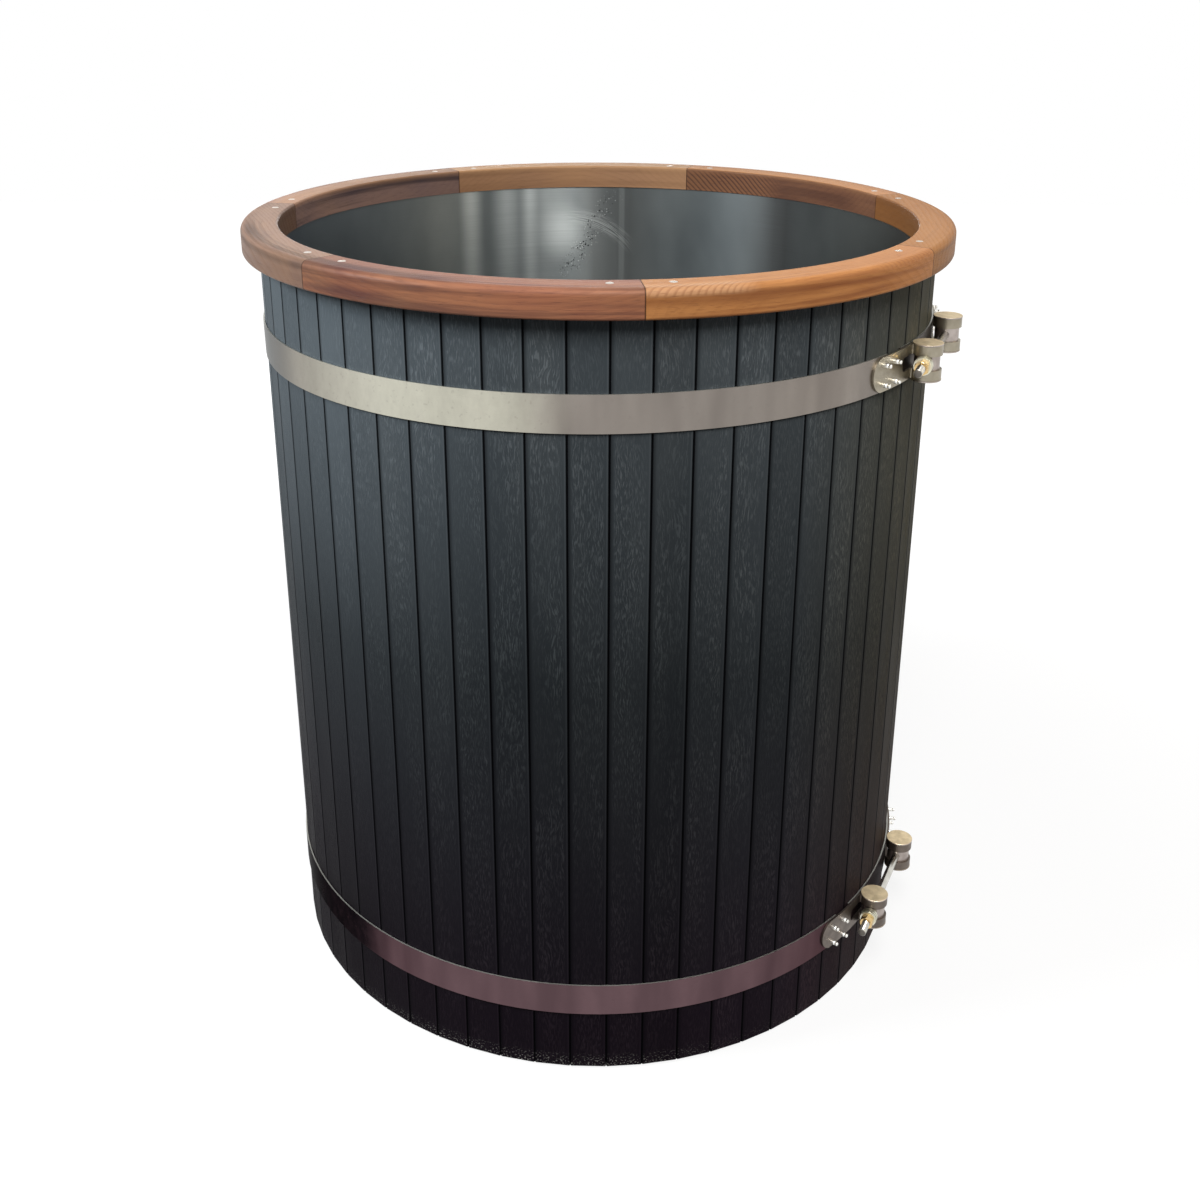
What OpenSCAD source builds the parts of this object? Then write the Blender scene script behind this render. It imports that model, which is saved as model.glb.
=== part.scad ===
// Cold plunge tub: upright tongue-and-groove boards round a steel liner, held by two steel hoops.
// A threaded rod between two pins draws each hoop tight, and a timber rim in segments caps the body.
// Units are millimetres. The origin is on the ground under the tub's axis, and the front is -Y.
// An angle round the tub is counted from the front towards +X.

/* [Body] */
// Height from the ground to the top of the rim
tub_h = 1163; // [1000:1:1300]
// Radius of the body over the corners of its boards
body_r = 500; // [460:1:560]
// Number of boards round the body
board_count = 60; // [52:4:68]
// Angle of one board joint from the front
board_turn = 1.66; // [0:0.01:5]
// Thickness of a board
board_t = 17.5; // [16:0.5:22]
// Width of the bevel at each outer edge of a board
board_bevel = 1.6; // [0.5:0.1:2.5]
// Gap between two boards
board_gap = 0.2; // [0.1:0.05:0.5]
// Thickness of a board's tongue
tongue_t = 6; // [4:0.5:7]
// How far the tongue stands out of its board
tongue_l = 6; // [3:0.5:8]
// Clearance of the tongue in its groove
tongue_clear = 0.15; // [0.05:0.05:0.4]
// Height of the boards' lower ends above the ground
board_lift = 4; // [1:1:15]

/* [Liner] */
// Thickness of the liner's sheet
sheet_t = 1.5; // [1:0.1:3]
// Inside radius of the bend between the liner's wall and floor
liner_bend = 12; // [6:1:30]
// How far the liner's flange stays inside the boards' outer faces
flange_inset = 3; // [1:0.5:8]
// Thickness of the foam between the liner and the boards
foam_t = 6.5; // [4:0.5:12]
// Number of foam strips round the liner
foam_count = 30; // [24:1:36]
// Clearance between the liner, the foam and the boards
layer_clear = 0.25; // [0.1:0.05:0.5]
// Thickness of the foam under the liner's floor
floor_foam_t = 27; // [15:1:50]

/* [Base] */
// Height of the bearers under the base panel
bearer_h = 60; // [58:1:90]
// Width of a bearer
bearer_w = 60; // [40:1:90]
// Distance between the centres of neighbouring bearers
bearer_space = 270; // [200:1:280]
// Clearance between a bearer's corners and the boards
bearer_clear = 4; // [2:0.5:20]
// Thickness of the base panel
panel_t = 21; // [15:1:30]
// Depth of the groove in the boards that holds the base panel
croze_d = 5; // [3:0.5:5.5]
// Clearance of the base panel in its groove
croze_clear = 0.3; // [0.1:0.05:0.5]
// Length of the screws that hold the panel to the bearers
panel_screw_l = 50; // [35:1:60]

/* [Rim] */
// Number of rim segments
rim_count = 7; // [6:1:9]
// Angle of one joint between rim segments from the front
rim_turn = 6; // [0:0.1:20]
// Thickness of the rim
rim_t = 38; // [30:1:50]
// How far the rim stands out past the boards' corners
rim_out = 24; // [10:1:40]
// How far the rim covers the liner's edge
rim_in = 2.3; // [1:0.1:10]
// Radius of the rim's outer top edge
rim_round = 9; // [4:0.5:12]
// Radius of the rim's inner top edge and outer bottom edge
rim_ease = 3.5; // [1:0.5:6]
// Width of the glue line between two segments
rim_glue = 0.4; // [0.2:0.1:1]
// Length, width and thickness of the spline across a rim joint
spline = [46, 28, 4];
// Clearance of the spline in its slot
spline_clear = 0.15; // [0.05:0.05:0.3]
// Distance of each rim screw from the nearest joint
rim_screw_off = 38; // [30:1:60]
// Length of a rim screw
rim_screw_l = 62; // [50:1:90]
// Diameter of a wood screw's shank
screw_d = 5; // [4:0.5:6]
// Diameter of a wood screw's head
screw_head_d = 10.4; // [8:0.2:12]
// Clearance of a screw in its hole
screw_clear = 0.1; // [0.05:0.05:0.3]

/* [Hoops] */
// Distance from the rim's top down to the upper hoop's middle at the tub's axis
upper_hoop_drop = 158.5; // [125:0.5:260]
// Height of the lower hoop's middle
lower_hoop_z = 126; // [118:0.5:250]
// Slope of the upper hoop, which sits a little higher at its tensioner's side
upper_hoop_tilt = 0.45; // [0:0.05:0.6]
// Angle of the upper tensioner's middle from the front
upper_turn = 67.6; // [30:0.1:120]
// Angle of the lower tensioner's middle from the front
lower_turn = 65; // [30:0.1:120]
// Width of a hoop's band
hoop_w = 50; // [40:1:60]
// Thickness of a hoop's band
hoop_t = 2; // [1.5:0.1:3]
// Clearance between a hoop and the boards' corners
hoop_clear = 0.25; // [0.25:0.05:0.6]
// Gap between the two ends of a band, behind the near lug's window
band_gap = 36; // [20:1:40]

/* [Tensioners] */
// Diameter of the pin in each lug
pin_d = 35; // [30:0.5:40]
// Thickness of the head at each end of a pin
pin_head = 2; // [1.4:0.1:4]
// Distance of the flat on a pin from the pin's axis
pin_flat = 15; // [13:0.5:16]
// Distance between the axes of the two pins
pin_span = 162; // [140:1:200]
// Thickness of a lug's plate
lug_t = 3; // [2:0.1:4]
// Height of a lug
lug_h = 48; // [46:1:54]
// Height of the window between a lug's two arms
window_h = 20; // [20:0.5:24]
// Distance from the pin to the closed end of the window
window_l = 41; // [34:0.5:46]
// Clearance of a pin in its loop
loop_clear = 0.06; // [0.03:0.01:0.1]
// Length of a lug's plate from its pin to its round end
lug_l = 118; // [105:1:150]
// Distance from the pin to the middle of the rivets
rivet_off = 83; // [76:1:95]
// Distance between rivets along the hoop and across it
rivet_pitch = [26, 27];
// Diameter of a rivet
rivet_d = 5; // [4:0.5:6]
// Diameter of a rivet's collar
collar_d = 6.6; // [6.2:0.1:9]
// Height of a rivet's collar
collar_h = 8; // [4:0.5:10]
// How far a rivet stands out of its lug
rivet_proud = 12.5; // [11:0.5:16]
// Diameter of the threaded rod
rod_d = 12; // [10:0.5:12]
// Clearance of what slides or turns on the rod
rod_clear = 0.08; // [0.03:0.01:0.1]
// Outside diameter of the sleeve between a near pin and its disc springs
sleeve_d = 18; // [15:0.5:19]
// Number of disc springs in a stack
disc_count = 5; // [3:1:5]
// Outside diameter of a disc spring
disc_d = 25; // [22:0.5:26]
// Thickness of a disc spring
disc_t = 1.5; // [1:0.1:2]
// Height of a disc spring's cone
disc_cone = 0.7; // [0.4:0.1:1]
// Outside diameter and thickness of the washer under the nut
washer = [24, 2.5];
// Width of a hexagon nut across its flats
nut_w = 18; // [17:0.5:19]
// Height of a hexagon nut
nut_h = 10.8; // [8:0.1:13]
// How far the rod stands out of the near nut
rod_end = 24; // [16:0.5:34]
// How far the rod stands out of the anchor nut
anchor_end = 4; // [2:0.5:10]

/* [Drain] */
// Distance of the floor drain behind the tub's axis
drain_y = 380; // [340:1:400]
// Height of the outlet pipe's axis
outlet_z = 34; // [31:0.5:37]
// Outside diameter of the pipe
pipe_d = 30.2; // [26:0.1:30.2]
// Bore of the pipe and the valve
pipe_bore = 25; // [18:0.5:25]
// Clearance of a pipe in a socket
pipe_clear = 0.05; // [0.03:0.01:0.1]
// Depth of a pipe socket
socket_l = 19; // [15:0.5:22]
// Outside diameter of the elbow
elbow_d = 42; // [38:0.5:44]
// Diameter and thickness of the drain's flange
drain_flange_size = [80, 4];
// Outside diameter of the drain's threaded neck
neck_d = 44; // [42:0.5:46]
// Clearance between the drain's neck and the parts round it
neck_clear = 0.3; // [0.2:0.05:1]
// Thickness of the drain's gasket
gasket_t = 2; // [1:0.5:3]
// Diameter of the strainer
strainer_d = 56; // [46:1:66]
// Thickness of the strainer
strainer_t = 1.6; // [1:0.1:2]
// Diameter of a hole in the strainer
strainer_hole = 5; // [3:0.5:6]
// Diameter and height of the locknut under the liner
locknut_size = [66, 9];
// Distance of the valve's inner end behind the boards' corners
valve_stand = 20; // [10:1:60]
// Diameter of the valve's ball
ball_d = 38; // [34:0.5:40]
// Clearance of the ball in its seats
ball_clear = 0.05; // [0.03:0.01:0.1]
// Diameter of the valve's body
valve_d = 50; // [48:0.5:56]
// Width of the body's hexagon ends across their flats
valve_hex = 41; // [38:0.5:44]
// Length of the body from its middle to an end
valve_l = 38; // [36:0.5:48]
// Diameter of the valve's stem
stem_d = 9; // [8:0.5:11]
// Reach of the lever from the stem to its tip
lever_l = 100; // [85:1:130]
// Width and thickness of the lever
lever_size = [15, 3];
// How far the lever steps up
lever_step = 9; // [4:1:12]
// Thickness of the grip's wall
grip_t = 2.2; // [1.5:0.1:3]
// Length of the grip
grip_l = 62; // [40:1:66]

/* [Hidden] */
$fn = 64;

eps = 0.01;
face_gap = 0.05;
// How far a cut runs past the piece
cut = 1;
// How far a screw's head lies under the surface, and the room past its tip
head_sink = 0.2;
tip_room = 1;

// Boards in plan: the joints lie on radial planes half a board each side of its middle.
half_board = 180 / board_count;
face_r = body_r * cos(half_board);
back_r = face_r - board_t;
face_half = face_r * tan(half_board);
tongue_r = face_r - board_t / 2;
groove_t = tongue_t + 2 * tongue_clear;
groove_l = tongue_l + 2 * tongue_clear;
boards_top = tub_h - rim_t - sheet_t;
// Room round the outlet pipe in the boards
pipe_room = 1;

// Layers inside the boards
foam_out_r = back_r - layer_clear;
liner_out_r = foam_out_r - foam_t - layer_clear;
liner_r = liner_out_r - sheet_t;
flange_r = face_r - flange_inset;
foam_gap = 0.5;
// Clearance of a rim screw in the liner's flange
flange_hole_clear = 0.8;

// Heights of the base's layers
panel_top = bearer_h + panel_t;
liner_floor = panel_top + floor_foam_t + sheet_t;
// Room round the drain's neck and round its locknut
neck_room = 2;
nut_room = 3;

// Rim
rim_out_r = body_r + rim_out;
rim_in_r = liner_r - rim_in;
rim_z = tub_h - rim_t;
rim_mid_r = (rim_in_r + rim_out_r) / 2;
segment_a = 360 / rim_count;
screw_r = tongue_r;
rim_screw_a = rim_screw_off / screw_r * 180 / PI;
glue_a = rim_glue / rim_mid_r * 180 / PI;
spline_z = rim_z + rim_t / 2;

// Hoops and tensioners
upper_hoop_z = tub_h - upper_hoop_drop;
hoop_in_r = body_r + hoop_clear;
hoop_out_r = hoop_in_r + hoop_t;
plate_out_r = hoop_out_r + lug_t;
loop_in = pin_d / 2 + loop_clear;
loop_out = loop_in + lug_t;
// Gap between a pin's loop and the hoop under it, and how far a loop stays inside the plate's edge
loop_lift = 0.4;
loop_set = 0.2;
// Radius of the window's two corners, and of the weld between a loop and the plate
window_round = 6;
weld_r = 1.8;
// How far a weld stays inside its loop's two faces
weld_set = 0.3;
// How far the band's gap lies beyond the window
gap_set = 5;
rivet_clear = 0.05;
rivet_tip = 0.8;
// How far a pin's head stands out round the loops and clears them, and its chamfer
head_out = 0.4;
head_clear = 0.15;
pin_chamfer = 0.6;
rod_chamfer = 1;
// How far the flat on a pin stays inside the window
flat_set = 0.1;
pin_r = plate_out_r + loop_lift + loop_in;
pin_a = asin(pin_span / 2 / pin_r);
rod_r = pin_r * cos(pin_a);
loop_h = (lug_h - window_h) / 2 - loop_set;
arc_deg = 180 / PI / plate_out_r;
disc_pitch = disc_t + disc_cone;
stack_l = disc_count * disc_pitch;
// Gap between a near pin's loops and the disc springs in front of them
spring_gap = 0.25;
spring_seat = loop_out + spring_gap;
nut_seat = spring_seat + stack_l + washer[1] + 2 * face_gap;

// Drain and valve
drain_top = liner_floor + gasket_t;
// Gap between a pipe's end and the bottom of its socket
socket_gap = 0.5;
// Height of the neck's thread above the bearers' tops
neck_rise = 6;
neck_low = bearer_h + neck_rise;
// Length of the elbow's legs, and the depth of their sockets, which stop clear of each other
elbow_leg = neck_low - outlet_z;
elbow_stop = 1.5;
elbow_socket = elbow_leg - pipe_d / 2 - elbow_stop;
tail_l = elbow_socket - 2 * socket_gap;
// Height of the drain's funnel and thickness of the neck's wall at its top
funnel_h = 6;
neck_wall = 3;
strainer_clear = 0.15;
// Thickness of the pipe collar's plate and of its cone, and how far each stands out round the pipe
collar_t = [2.5, 3];
collar_out = [14, 13, 6];
collar_clear = 0.2;
valve_y = body_r + valve_stand + valve_l;
pipe_end = valve_y - valve_l + socket_l - socket_gap;
// How far a seat ends before the ball's end, and how much its radius is less than the ball's
seat_end = ball_d / 2 - 2;
seat_r = ball_d / 2 - 1.5;
// Clearance of a part that turns on the stem
stem_clear = 0.06;
cavity_clear = 0.5;
// Height of the boss over the body, of the lever over the boss and of the stem over the lever
boss_h = 5;
lever_rise = 8;
stem_rise = 8;
boss_top = valve_d / 2 + boss_h;
lever_z = boss_top + lever_rise;
stem_top = lever_z + lever_size[1] + stem_rise;
// The stem's neck, which carries the lever, starts this far over the boss and is this much thinner
neck_up = 7;
neck_in = 1;
// The stem's blade in the ball's slot: its thickness, its clearance and its depth
blade = 3.2;
blade_clear = 0.1;
gland_h = 6;
lever_nut_h = 6.5;

// A point in plan at radius r and sideways distance s from the radial plane at angle a
function beside(r, s, a) = [r * sin(a) + s * cos(a), -r * cos(a) + s * sin(a)];

// The front's shape turned to an angle round the tub
module around(a) {
  rotate([0, 0, a]) children();
}

// A sector of a ring between two angles, from a profile of radius and height
module sector(from, to) {
  around(from) rotate([0, 0, -90]) rotate_extrude(angle = to - from, $fn = 180) children();
}

// A hexagon nut whose corners are bevelled at both ends
module hex_nut(width, height, bore_r) {
  corner_r = width / sqrt(3);
  bevel_h = height * 0.1;
  difference() {
    intersection() {
      cylinder(r = corner_r, h = height, $fn = 6);
      union() {
        cylinder(r1 = width / 2, r2 = corner_r + eps, h = bevel_h);
        translate([0, 0, bevel_h]) cylinder(r = corner_r + eps, h = height - 2 * bevel_h);
        translate([0, 0, height - bevel_h]) cylinder(r1 = corner_r + eps, r2 = width / 2, h = bevel_h);
      }
    }
    translate([0, 0, -cut]) cylinder(r = bore_r, h = height + 2 * cut);
  }
}

// A countersunk wood screw, grown by a clearance, with its head's top at the origin
module wood_screw(length, clear) {
  head_h = (screw_head_d - screw_d) / 2;
  translate([0, 0, -length]) cylinder(d = screw_d + 2 * clear, h = length);
  translate([0, 0, -head_h])
    cylinder(r1 = screw_d / 2 + clear, r2 = screw_head_d / 2 + clear, h = head_h + eps);
}

// A screw sunk under a surface at z 0, and the hole that it needs
module sunk_screw(length) {
  translate([0, 0, -head_sink]) wood_screw(length - tip_room, 0);
}

module screw_hole(length) {
  translate([0, 0, -head_sink]) {
    wood_screw(length, screw_clear);
    cylinder(d = screw_head_d + 2 * screw_clear, h = head_sink + cut);
  }
}

// Base

module base_bearers() {
  for (k = [-1:1]) {
    edge = abs(k) * bearer_space + bearer_w / 2;
    reach = sqrt(pow(back_r - bearer_clear, 2) - edge * edge);
    color("#6b5a48") translate([-reach, k * bearer_space - bearer_w / 2, 0]) difference() {
      cube([2 * reach, bearer_w, bearer_h]);
      for (x = panel_screw_xs()) translate([reach + x, bearer_w / 2, bearer_h + panel_t])
        screw_hole(panel_screw_l);
    }
  }
}

function panel_screw_xs() = [-bearer_space, 0, bearer_space];

module panel_screw_places() {
  for (k = [-1:1]) for (x = panel_screw_xs()) translate([x, k * bearer_space, panel_top]) children();
}

module panel_screws() {
  color("#c9c9c9") panel_screw_places() sunk_screw(panel_screw_l);
}

module base_panel() {
  color("#8a7a63") difference() {
    translate([0, 0, bearer_h]) cylinder(r = back_r + croze_d - croze_clear, h = panel_t, $fn = 180);
    panel_screw_places() screw_hole(panel_screw_l);
    translate([0, drain_y, bearer_h - cut]) cylinder(r = neck_d / 2 + neck_room, h = panel_t + 2 * cut);
  }
}

module floor_insulation() {
  color("#d8d2c0") difference() {
    translate([0, 0, panel_top]) cylinder(r = liner_out_r - liner_bend, h = floor_foam_t, $fn = 180);
    translate([0, drain_y, panel_top - cut]) cylinder(r = neck_d / 2 + neck_room, h = floor_foam_t + 2 * cut);
    translate([0, drain_y, liner_floor - sheet_t - locknut_size[1] - cut])
      cylinder(r = locknut_size[0] / 2 + nut_room, h = locknut_size[1] + 2 * cut);
  }
}

// Liner and wall insulation

module liner_profile() {
  wall_low = liner_floor + liner_bend;
  translate([liner_r, wall_low]) square([sheet_t, boards_top + sheet_t - wall_low]);
  translate([liner_r, boards_top]) square([flange_r - liner_r, sheet_t]);
  translate([0, liner_floor - sheet_t]) square([liner_r - liner_bend, sheet_t]);
  intersection() {
    translate([liner_r - liner_bend, wall_low]) difference() {
      circle(r = liner_bend + sheet_t);
      circle(r = liner_bend);
    }
    translate([liner_r - liner_bend, liner_floor - sheet_t]) square([liner_bend + sheet_t, liner_bend + sheet_t]);
  }
}

module liner() {
  color("#9a9c9e") difference() {
    rotate_extrude($fn = 180) liner_profile();
    translate([0, drain_y, liner_floor - sheet_t - cut])
      cylinder(r = neck_d / 2 + neck_clear, h = sheet_t + 2 * cut);
    rim_screw_places(boards_top - cut) cylinder(r = screw_d / 2 + flange_hole_clear, h = sheet_t + 2 * cut);
  }
}

module wall_insulation() {
  strip_a = 360 / foam_count;
  gap_a = foam_gap / foam_out_r * 180 / PI;
  color("#d8d2c0") for (k = [0:foam_count - 1])
    sector(k * strip_a + gap_a, (k + 1) * strip_a - gap_a)
      translate([liner_out_r + layer_clear, panel_top + layer_clear])
        square([foam_t, boards_top - panel_top - 2 * layer_clear]);
}

// Boards

module board_outline() {
  g = board_gap / 2;
  polygon([
    [-face_half + board_bevel, -face_r],
    [face_half - board_bevel, -face_r],
    beside(body_r - board_bevel, -g, half_board),
    beside(tongue_r + tongue_t / 2, -g, half_board),
    beside(tongue_r + tongue_t / 2, tongue_l, half_board),
    beside(tongue_r - tongue_t / 2, tongue_l, half_board),
    beside(tongue_r - tongue_t / 2, -g, half_board),
    beside(back_r / cos(half_board), -g, half_board),
    beside(back_r / cos(half_board), g, -half_board),
    beside(tongue_r - groove_t / 2, g, -half_board),
    beside(tongue_r - groove_t / 2, groove_l, -half_board),
    beside(tongue_r + groove_t / 2, groove_l, -half_board),
    beside(tongue_r + groove_t / 2, g, -half_board),
    beside(body_r - board_bevel, g, -half_board)
  ]);
}

// A quarter of the boards, counted from the first board after board_turn
module staves(quarter) {
  per = board_count / 4;
  color("#45474a") difference() {
    for (k = [quarter * per:(quarter + 1) * per - 1])
      around(board_turn + (2 * k + 1) * half_board)
        translate([0, 0, board_lift]) linear_extrude(boards_top - board_lift) board_outline();
    translate([0, 0, bearer_h - croze_clear])
      cylinder(r = back_r + croze_d, h = panel_t + 2 * croze_clear, $fn = 180);
    rim_screw_places(tub_h) screw_hole(rim_screw_l);
    if (quarter == 1 || quarter == 2) translate([0, back_r - cut, outlet_z]) rotate([-90, 0, 0])
      cylinder(r = pipe_d / 2 + pipe_room, h = 2 * board_t);
  }
}

module staves_front() { staves(3); }
module staves_right() { staves(0); }
module staves_back() { staves(1); }
module staves_left() { staves(2); }

// Rim

module rim_profile() {
  translate([rim_in_r, 0]) square([rim_out_r - rim_round - rim_in_r, rim_t - rim_ease]);
  translate([rim_in_r + rim_ease, 0]) square([rim_out_r - rim_round - rim_in_r - rim_ease, rim_t]);
  translate([rim_in_r, rim_ease]) square([rim_out_r - rim_in_r, rim_t - rim_round - rim_ease]);
  translate([rim_out_r - rim_round, rim_t - rim_round]) circle(r = rim_round);
  translate([rim_in_r + rim_ease, rim_t - rim_ease]) circle(r = rim_ease);
  translate([rim_out_r - rim_ease, rim_ease]) circle(r = rim_ease);
  translate([rim_out_r - rim_round, 0]) square([rim_round - rim_ease, rim_t - rim_round]);
}

module rim_joint_places() {
  for (k = [0:rim_count - 1]) around(rim_turn + k * segment_a) children();
}

// The rim's screws stand in pairs, one each side of a joint
module rim_screw_places(z) {
  rim_joint_places() for (s = [-1, 1]) around(s * rim_screw_a) translate([0, -screw_r, z]) children();
}

module spline_block(clear) {
  translate([-spline[0] / 2 - clear, -rim_mid_r - spline[1] / 2 - clear, spline_z - spline[2] / 2 - clear])
    cube([spline[0] + 2 * clear, spline[1] + 2 * clear, spline[2] + 2 * clear]);
}

module rim_segment(k) {
  from = rim_turn + (k - 1) * segment_a;
  color("#7a5638") difference() {
    sector(from + glue_a / 2, from + segment_a - glue_a / 2) translate([0, rim_z]) rim_profile();
    for (j = [0, 1]) around(from + j * segment_a) spline_block(spline_clear);
    for (j = [0, 1]) around(from + j * segment_a + (j == 0 ? 1 : -1) * rim_screw_a)
      translate([0, -screw_r, tub_h]) screw_hole(rim_screw_l);
  }
}

module rim_segment_1() { rim_segment(1); }
module rim_segment_2() { rim_segment(2); }
module rim_segment_3() { rim_segment(3); }
module rim_segment_4() { rim_segment(4); }
module rim_segment_5() { rim_segment(5); }
module rim_segment_6() { rim_segment(6); }
module rim_segment_7() { rim_segment(7); }

module rim_splines() {
  color("#b08a5a") rim_joint_places() spline_block(0);
}

module rim_screws() {
  color("#d4d4d4") rim_screw_places(tub_h) sunk_screw(rim_screw_l);
}

// Hoops: each is drawn round the axis with its middle at z 0

module rivet_places() {
  for (s = [-1, 1]) for (z = [-1, 1])
    around((-rivet_off + s * rivet_pitch[0] / 2) * arc_deg)
      translate([0, 0, z * rivet_pitch[1] / 2]) rotate([90, 0, 0]) children();
}

// Moves a lug's parts from the front to the near or the far pin of a tensioner
module at_near(turn) { around(turn - pin_a) children(); }
module at_far(turn) { around(turn + pin_a) mirror([1, 0, 0]) children(); }

module rivet_holes() {
  rivet_places() translate([0, 0, hoop_in_r - 5 * cut])
    cylinder(d = rivet_d + 2 * rivet_clear, h = hoop_t + lug_t + 10 * cut);
}

module hoop_band(turn) {
  gap_a = band_gap * arc_deg;
  start = turn - pin_a - (window_l + gap_set + band_gap) * arc_deg;
  whole_turn = 360;
  color("#b4b6b8") difference() {
    sector(start + gap_a, start + whole_turn) translate([hoop_in_r, -hoop_w / 2]) square([hoop_t, hoop_w]);
    at_near(turn) rivet_holes();
    at_far(turn) rivet_holes();
  }
}

// The loop of one arm, which goes under the pin and round it, and is welded to the plate where it ends
module loop() {
  rise = pin_r - plate_out_r;
  weld_a = (sqrt(pow(loop_out, 2) - pow(rise, 2)) + weld_r / 2) * arc_deg;
  translate([0, -pin_r, 0]) difference() {
    cylinder(r = loop_out, h = loop_h);
    translate([0, 0, -cut]) cylinder(r = loop_in, h = loop_h + 2 * cut);
  }
  around(-weld_a) translate([0, -plate_out_r - weld_r / 2, weld_set]) cylinder(r = weld_r, h = loop_h - 2 * weld_set);
}

// The window in a lug's plate, open at the pin
module window() {
  straight = window_l - window_round;
  translate([-straight, -window_h / 2]) square([straight + 5 * cut, window_h]);
  translate([-window_l, window_round - window_h / 2]) square([window_l, window_h - 2 * window_round]);
  for (s = [-1, 1]) translate([-straight, s * (window_h / 2 - window_round)]) circle(r = window_round);
}

// A plate with a round end and a window, cut from the hoop's curve, and two loops
module lug() {
  end_r = lug_h / 2 + cut;
  depth = 5 * lug_t;
  color("#a5a6a8") difference() {
    union() {
      difference() {
        intersection() {
          sector(-(lug_l + 5 * cut) * arc_deg, 0) translate([hoop_out_r, -lug_h / 2]) square([lug_t, lug_h]);
          around(-(lug_l - end_r) * arc_deg) translate([0, depth - hoop_out_r, 0]) rotate([90, 0, 0])
            linear_extrude(2 * depth + lug_t) {
              circle(r = end_r);
              translate([0, -lug_h]) square([lug_l + end_r, 2 * lug_h]);
            }
        }
        translate([0, depth - hoop_out_r, 0]) rotate([90, 0, 0]) linear_extrude(2 * depth + lug_t) window();
      }
      for (s = [0, 1]) mirror([0, 0, s]) translate([0, 0, window_h / 2]) loop();
    }
    rivet_holes();
  }
}

module rivets() {
  rivet_places() {
    translate([0, 0, hoop_in_r + rivet_clear])
      cylinder(d = rivet_d, h = hoop_t + lug_t + rivet_proud - rivet_tip - rivet_clear);
    translate([0, 0, plate_out_r + rivet_proud - rivet_tip])
      cylinder(d1 = rivet_d, d2 = rivet_d - 2 * rivet_tip, h = rivet_tip);
    translate([0, 0, plate_out_r + face_gap]) cylinder(d = collar_d, h = collar_h);
  }
}

// The tensioner's own frame: the rod lies along X through both pins
module on_rod(turn, x) {
  around(turn) translate([x, -rod_r, 0]) rotate([0, x < 0 ? -90 : 90, 0]) children();
}

// A pin stands across the rod, whose direction is the pin's local Z
module pin() {
  head_r = loop_out + head_out;
  head_z = lug_h / 2 + head_clear;
  tall = head_z + pin_head;
  color("#bdbdbb") rotate([0, 90, 0]) difference() {
    rotate_extrude() polygon([
      [0, -tall], [head_r - pin_chamfer, -tall], [head_r, pin_chamfer - tall], [head_r, -head_z],
      [pin_d / 2, -head_z], [pin_d / 2, head_z],
      [head_r, head_z], [head_r, tall - pin_chamfer], [head_r - pin_chamfer, tall], [0, tall]
    ]);
    rotate([0, -90, 0]) translate([0, 0, -pin_d]) cylinder(r = rod_d / 2 + rod_clear, h = 2 * pin_d);
    translate([-pin_d - pin_flat, -pin_d / 2, flat_set - window_h / 2])
      cube([pin_d, pin_d, window_h - 2 * flat_set]);
  }
}

module rod(turn) {
  near_l = pin_span / 2 + nut_seat + nut_h + rod_end;
  far_l = pin_span / 2 + pin_flat + face_gap + nut_h + anchor_end;
  color("#c4c4c2") around(turn) translate([-near_l, -rod_r, 0]) rotate([0, 90, 0]) {
    cylinder(d1 = rod_d - 2 * rod_chamfer, d2 = rod_d, h = rod_chamfer);
    translate([0, 0, rod_chamfer]) cylinder(d = rod_d, h = near_l + far_l - 2 * rod_chamfer);
    translate([0, 0, near_l + far_l - rod_chamfer])
      cylinder(d1 = rod_d, d2 = rod_d - 2 * rod_chamfer, h = rod_chamfer);
  }
}

// A sleeve stands on the near pin's flat, and disc springs, cone to cone, between the sleeve and the washer
module disc_springs() {
  inner = rod_d / 2 + rod_clear;
  color("#c8c8c2") {
    translate([0, 0, pin_flat + face_gap]) difference() {
      cylinder(d = sleeve_d, h = spring_seat - pin_flat - 2 * face_gap);
      translate([0, 0, -cut]) cylinder(r = inner, h = spring_seat - pin_flat + 2 * cut);
    }
    for (k = [0:disc_count - 1]) translate([0, 0, spring_seat + face_gap / 2 + k * disc_pitch])
      rotate_extrude() polygon(k % 2 == 0
        ? [[inner, 0], [disc_d / 2, disc_cone], [disc_d / 2, disc_cone + disc_t], [inner, disc_t]]
        : [[inner, disc_cone], [disc_d / 2, 0], [disc_d / 2, disc_t], [inner, disc_cone + disc_t]]);
  }
}

module rod_washer() {
  color("#d6d6d2") translate([0, 0, spring_seat + stack_l + face_gap]) difference() {
    cylinder(d = washer[0], h = washer[1]);
    translate([0, 0, -cut]) cylinder(r = rod_d / 2 + rod_clear, h = washer[1] + 2 * cut);
  }
}

module rod_nut() {
  color("#dcd6c4") translate([0, 0, nut_seat]) hex_nut(nut_w, nut_h, rod_d / 2 + rod_clear);
}

// The anchor nut lies in the far lug's window, with its flats towards the loops
module anchor_nut() {
  color("#dcd6c4") translate([0, 0, pin_flat + face_gap]) rotate([0, 0, 30])
    hex_nut(nut_w, nut_h, rod_d / 2 + rod_clear);
}

module upper() {
  translate([0, 0, upper_hoop_z]) rotate([0, -upper_hoop_tilt, 0]) children();
}

module lower() {
  translate([0, 0, lower_hoop_z]) children();
}

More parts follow.
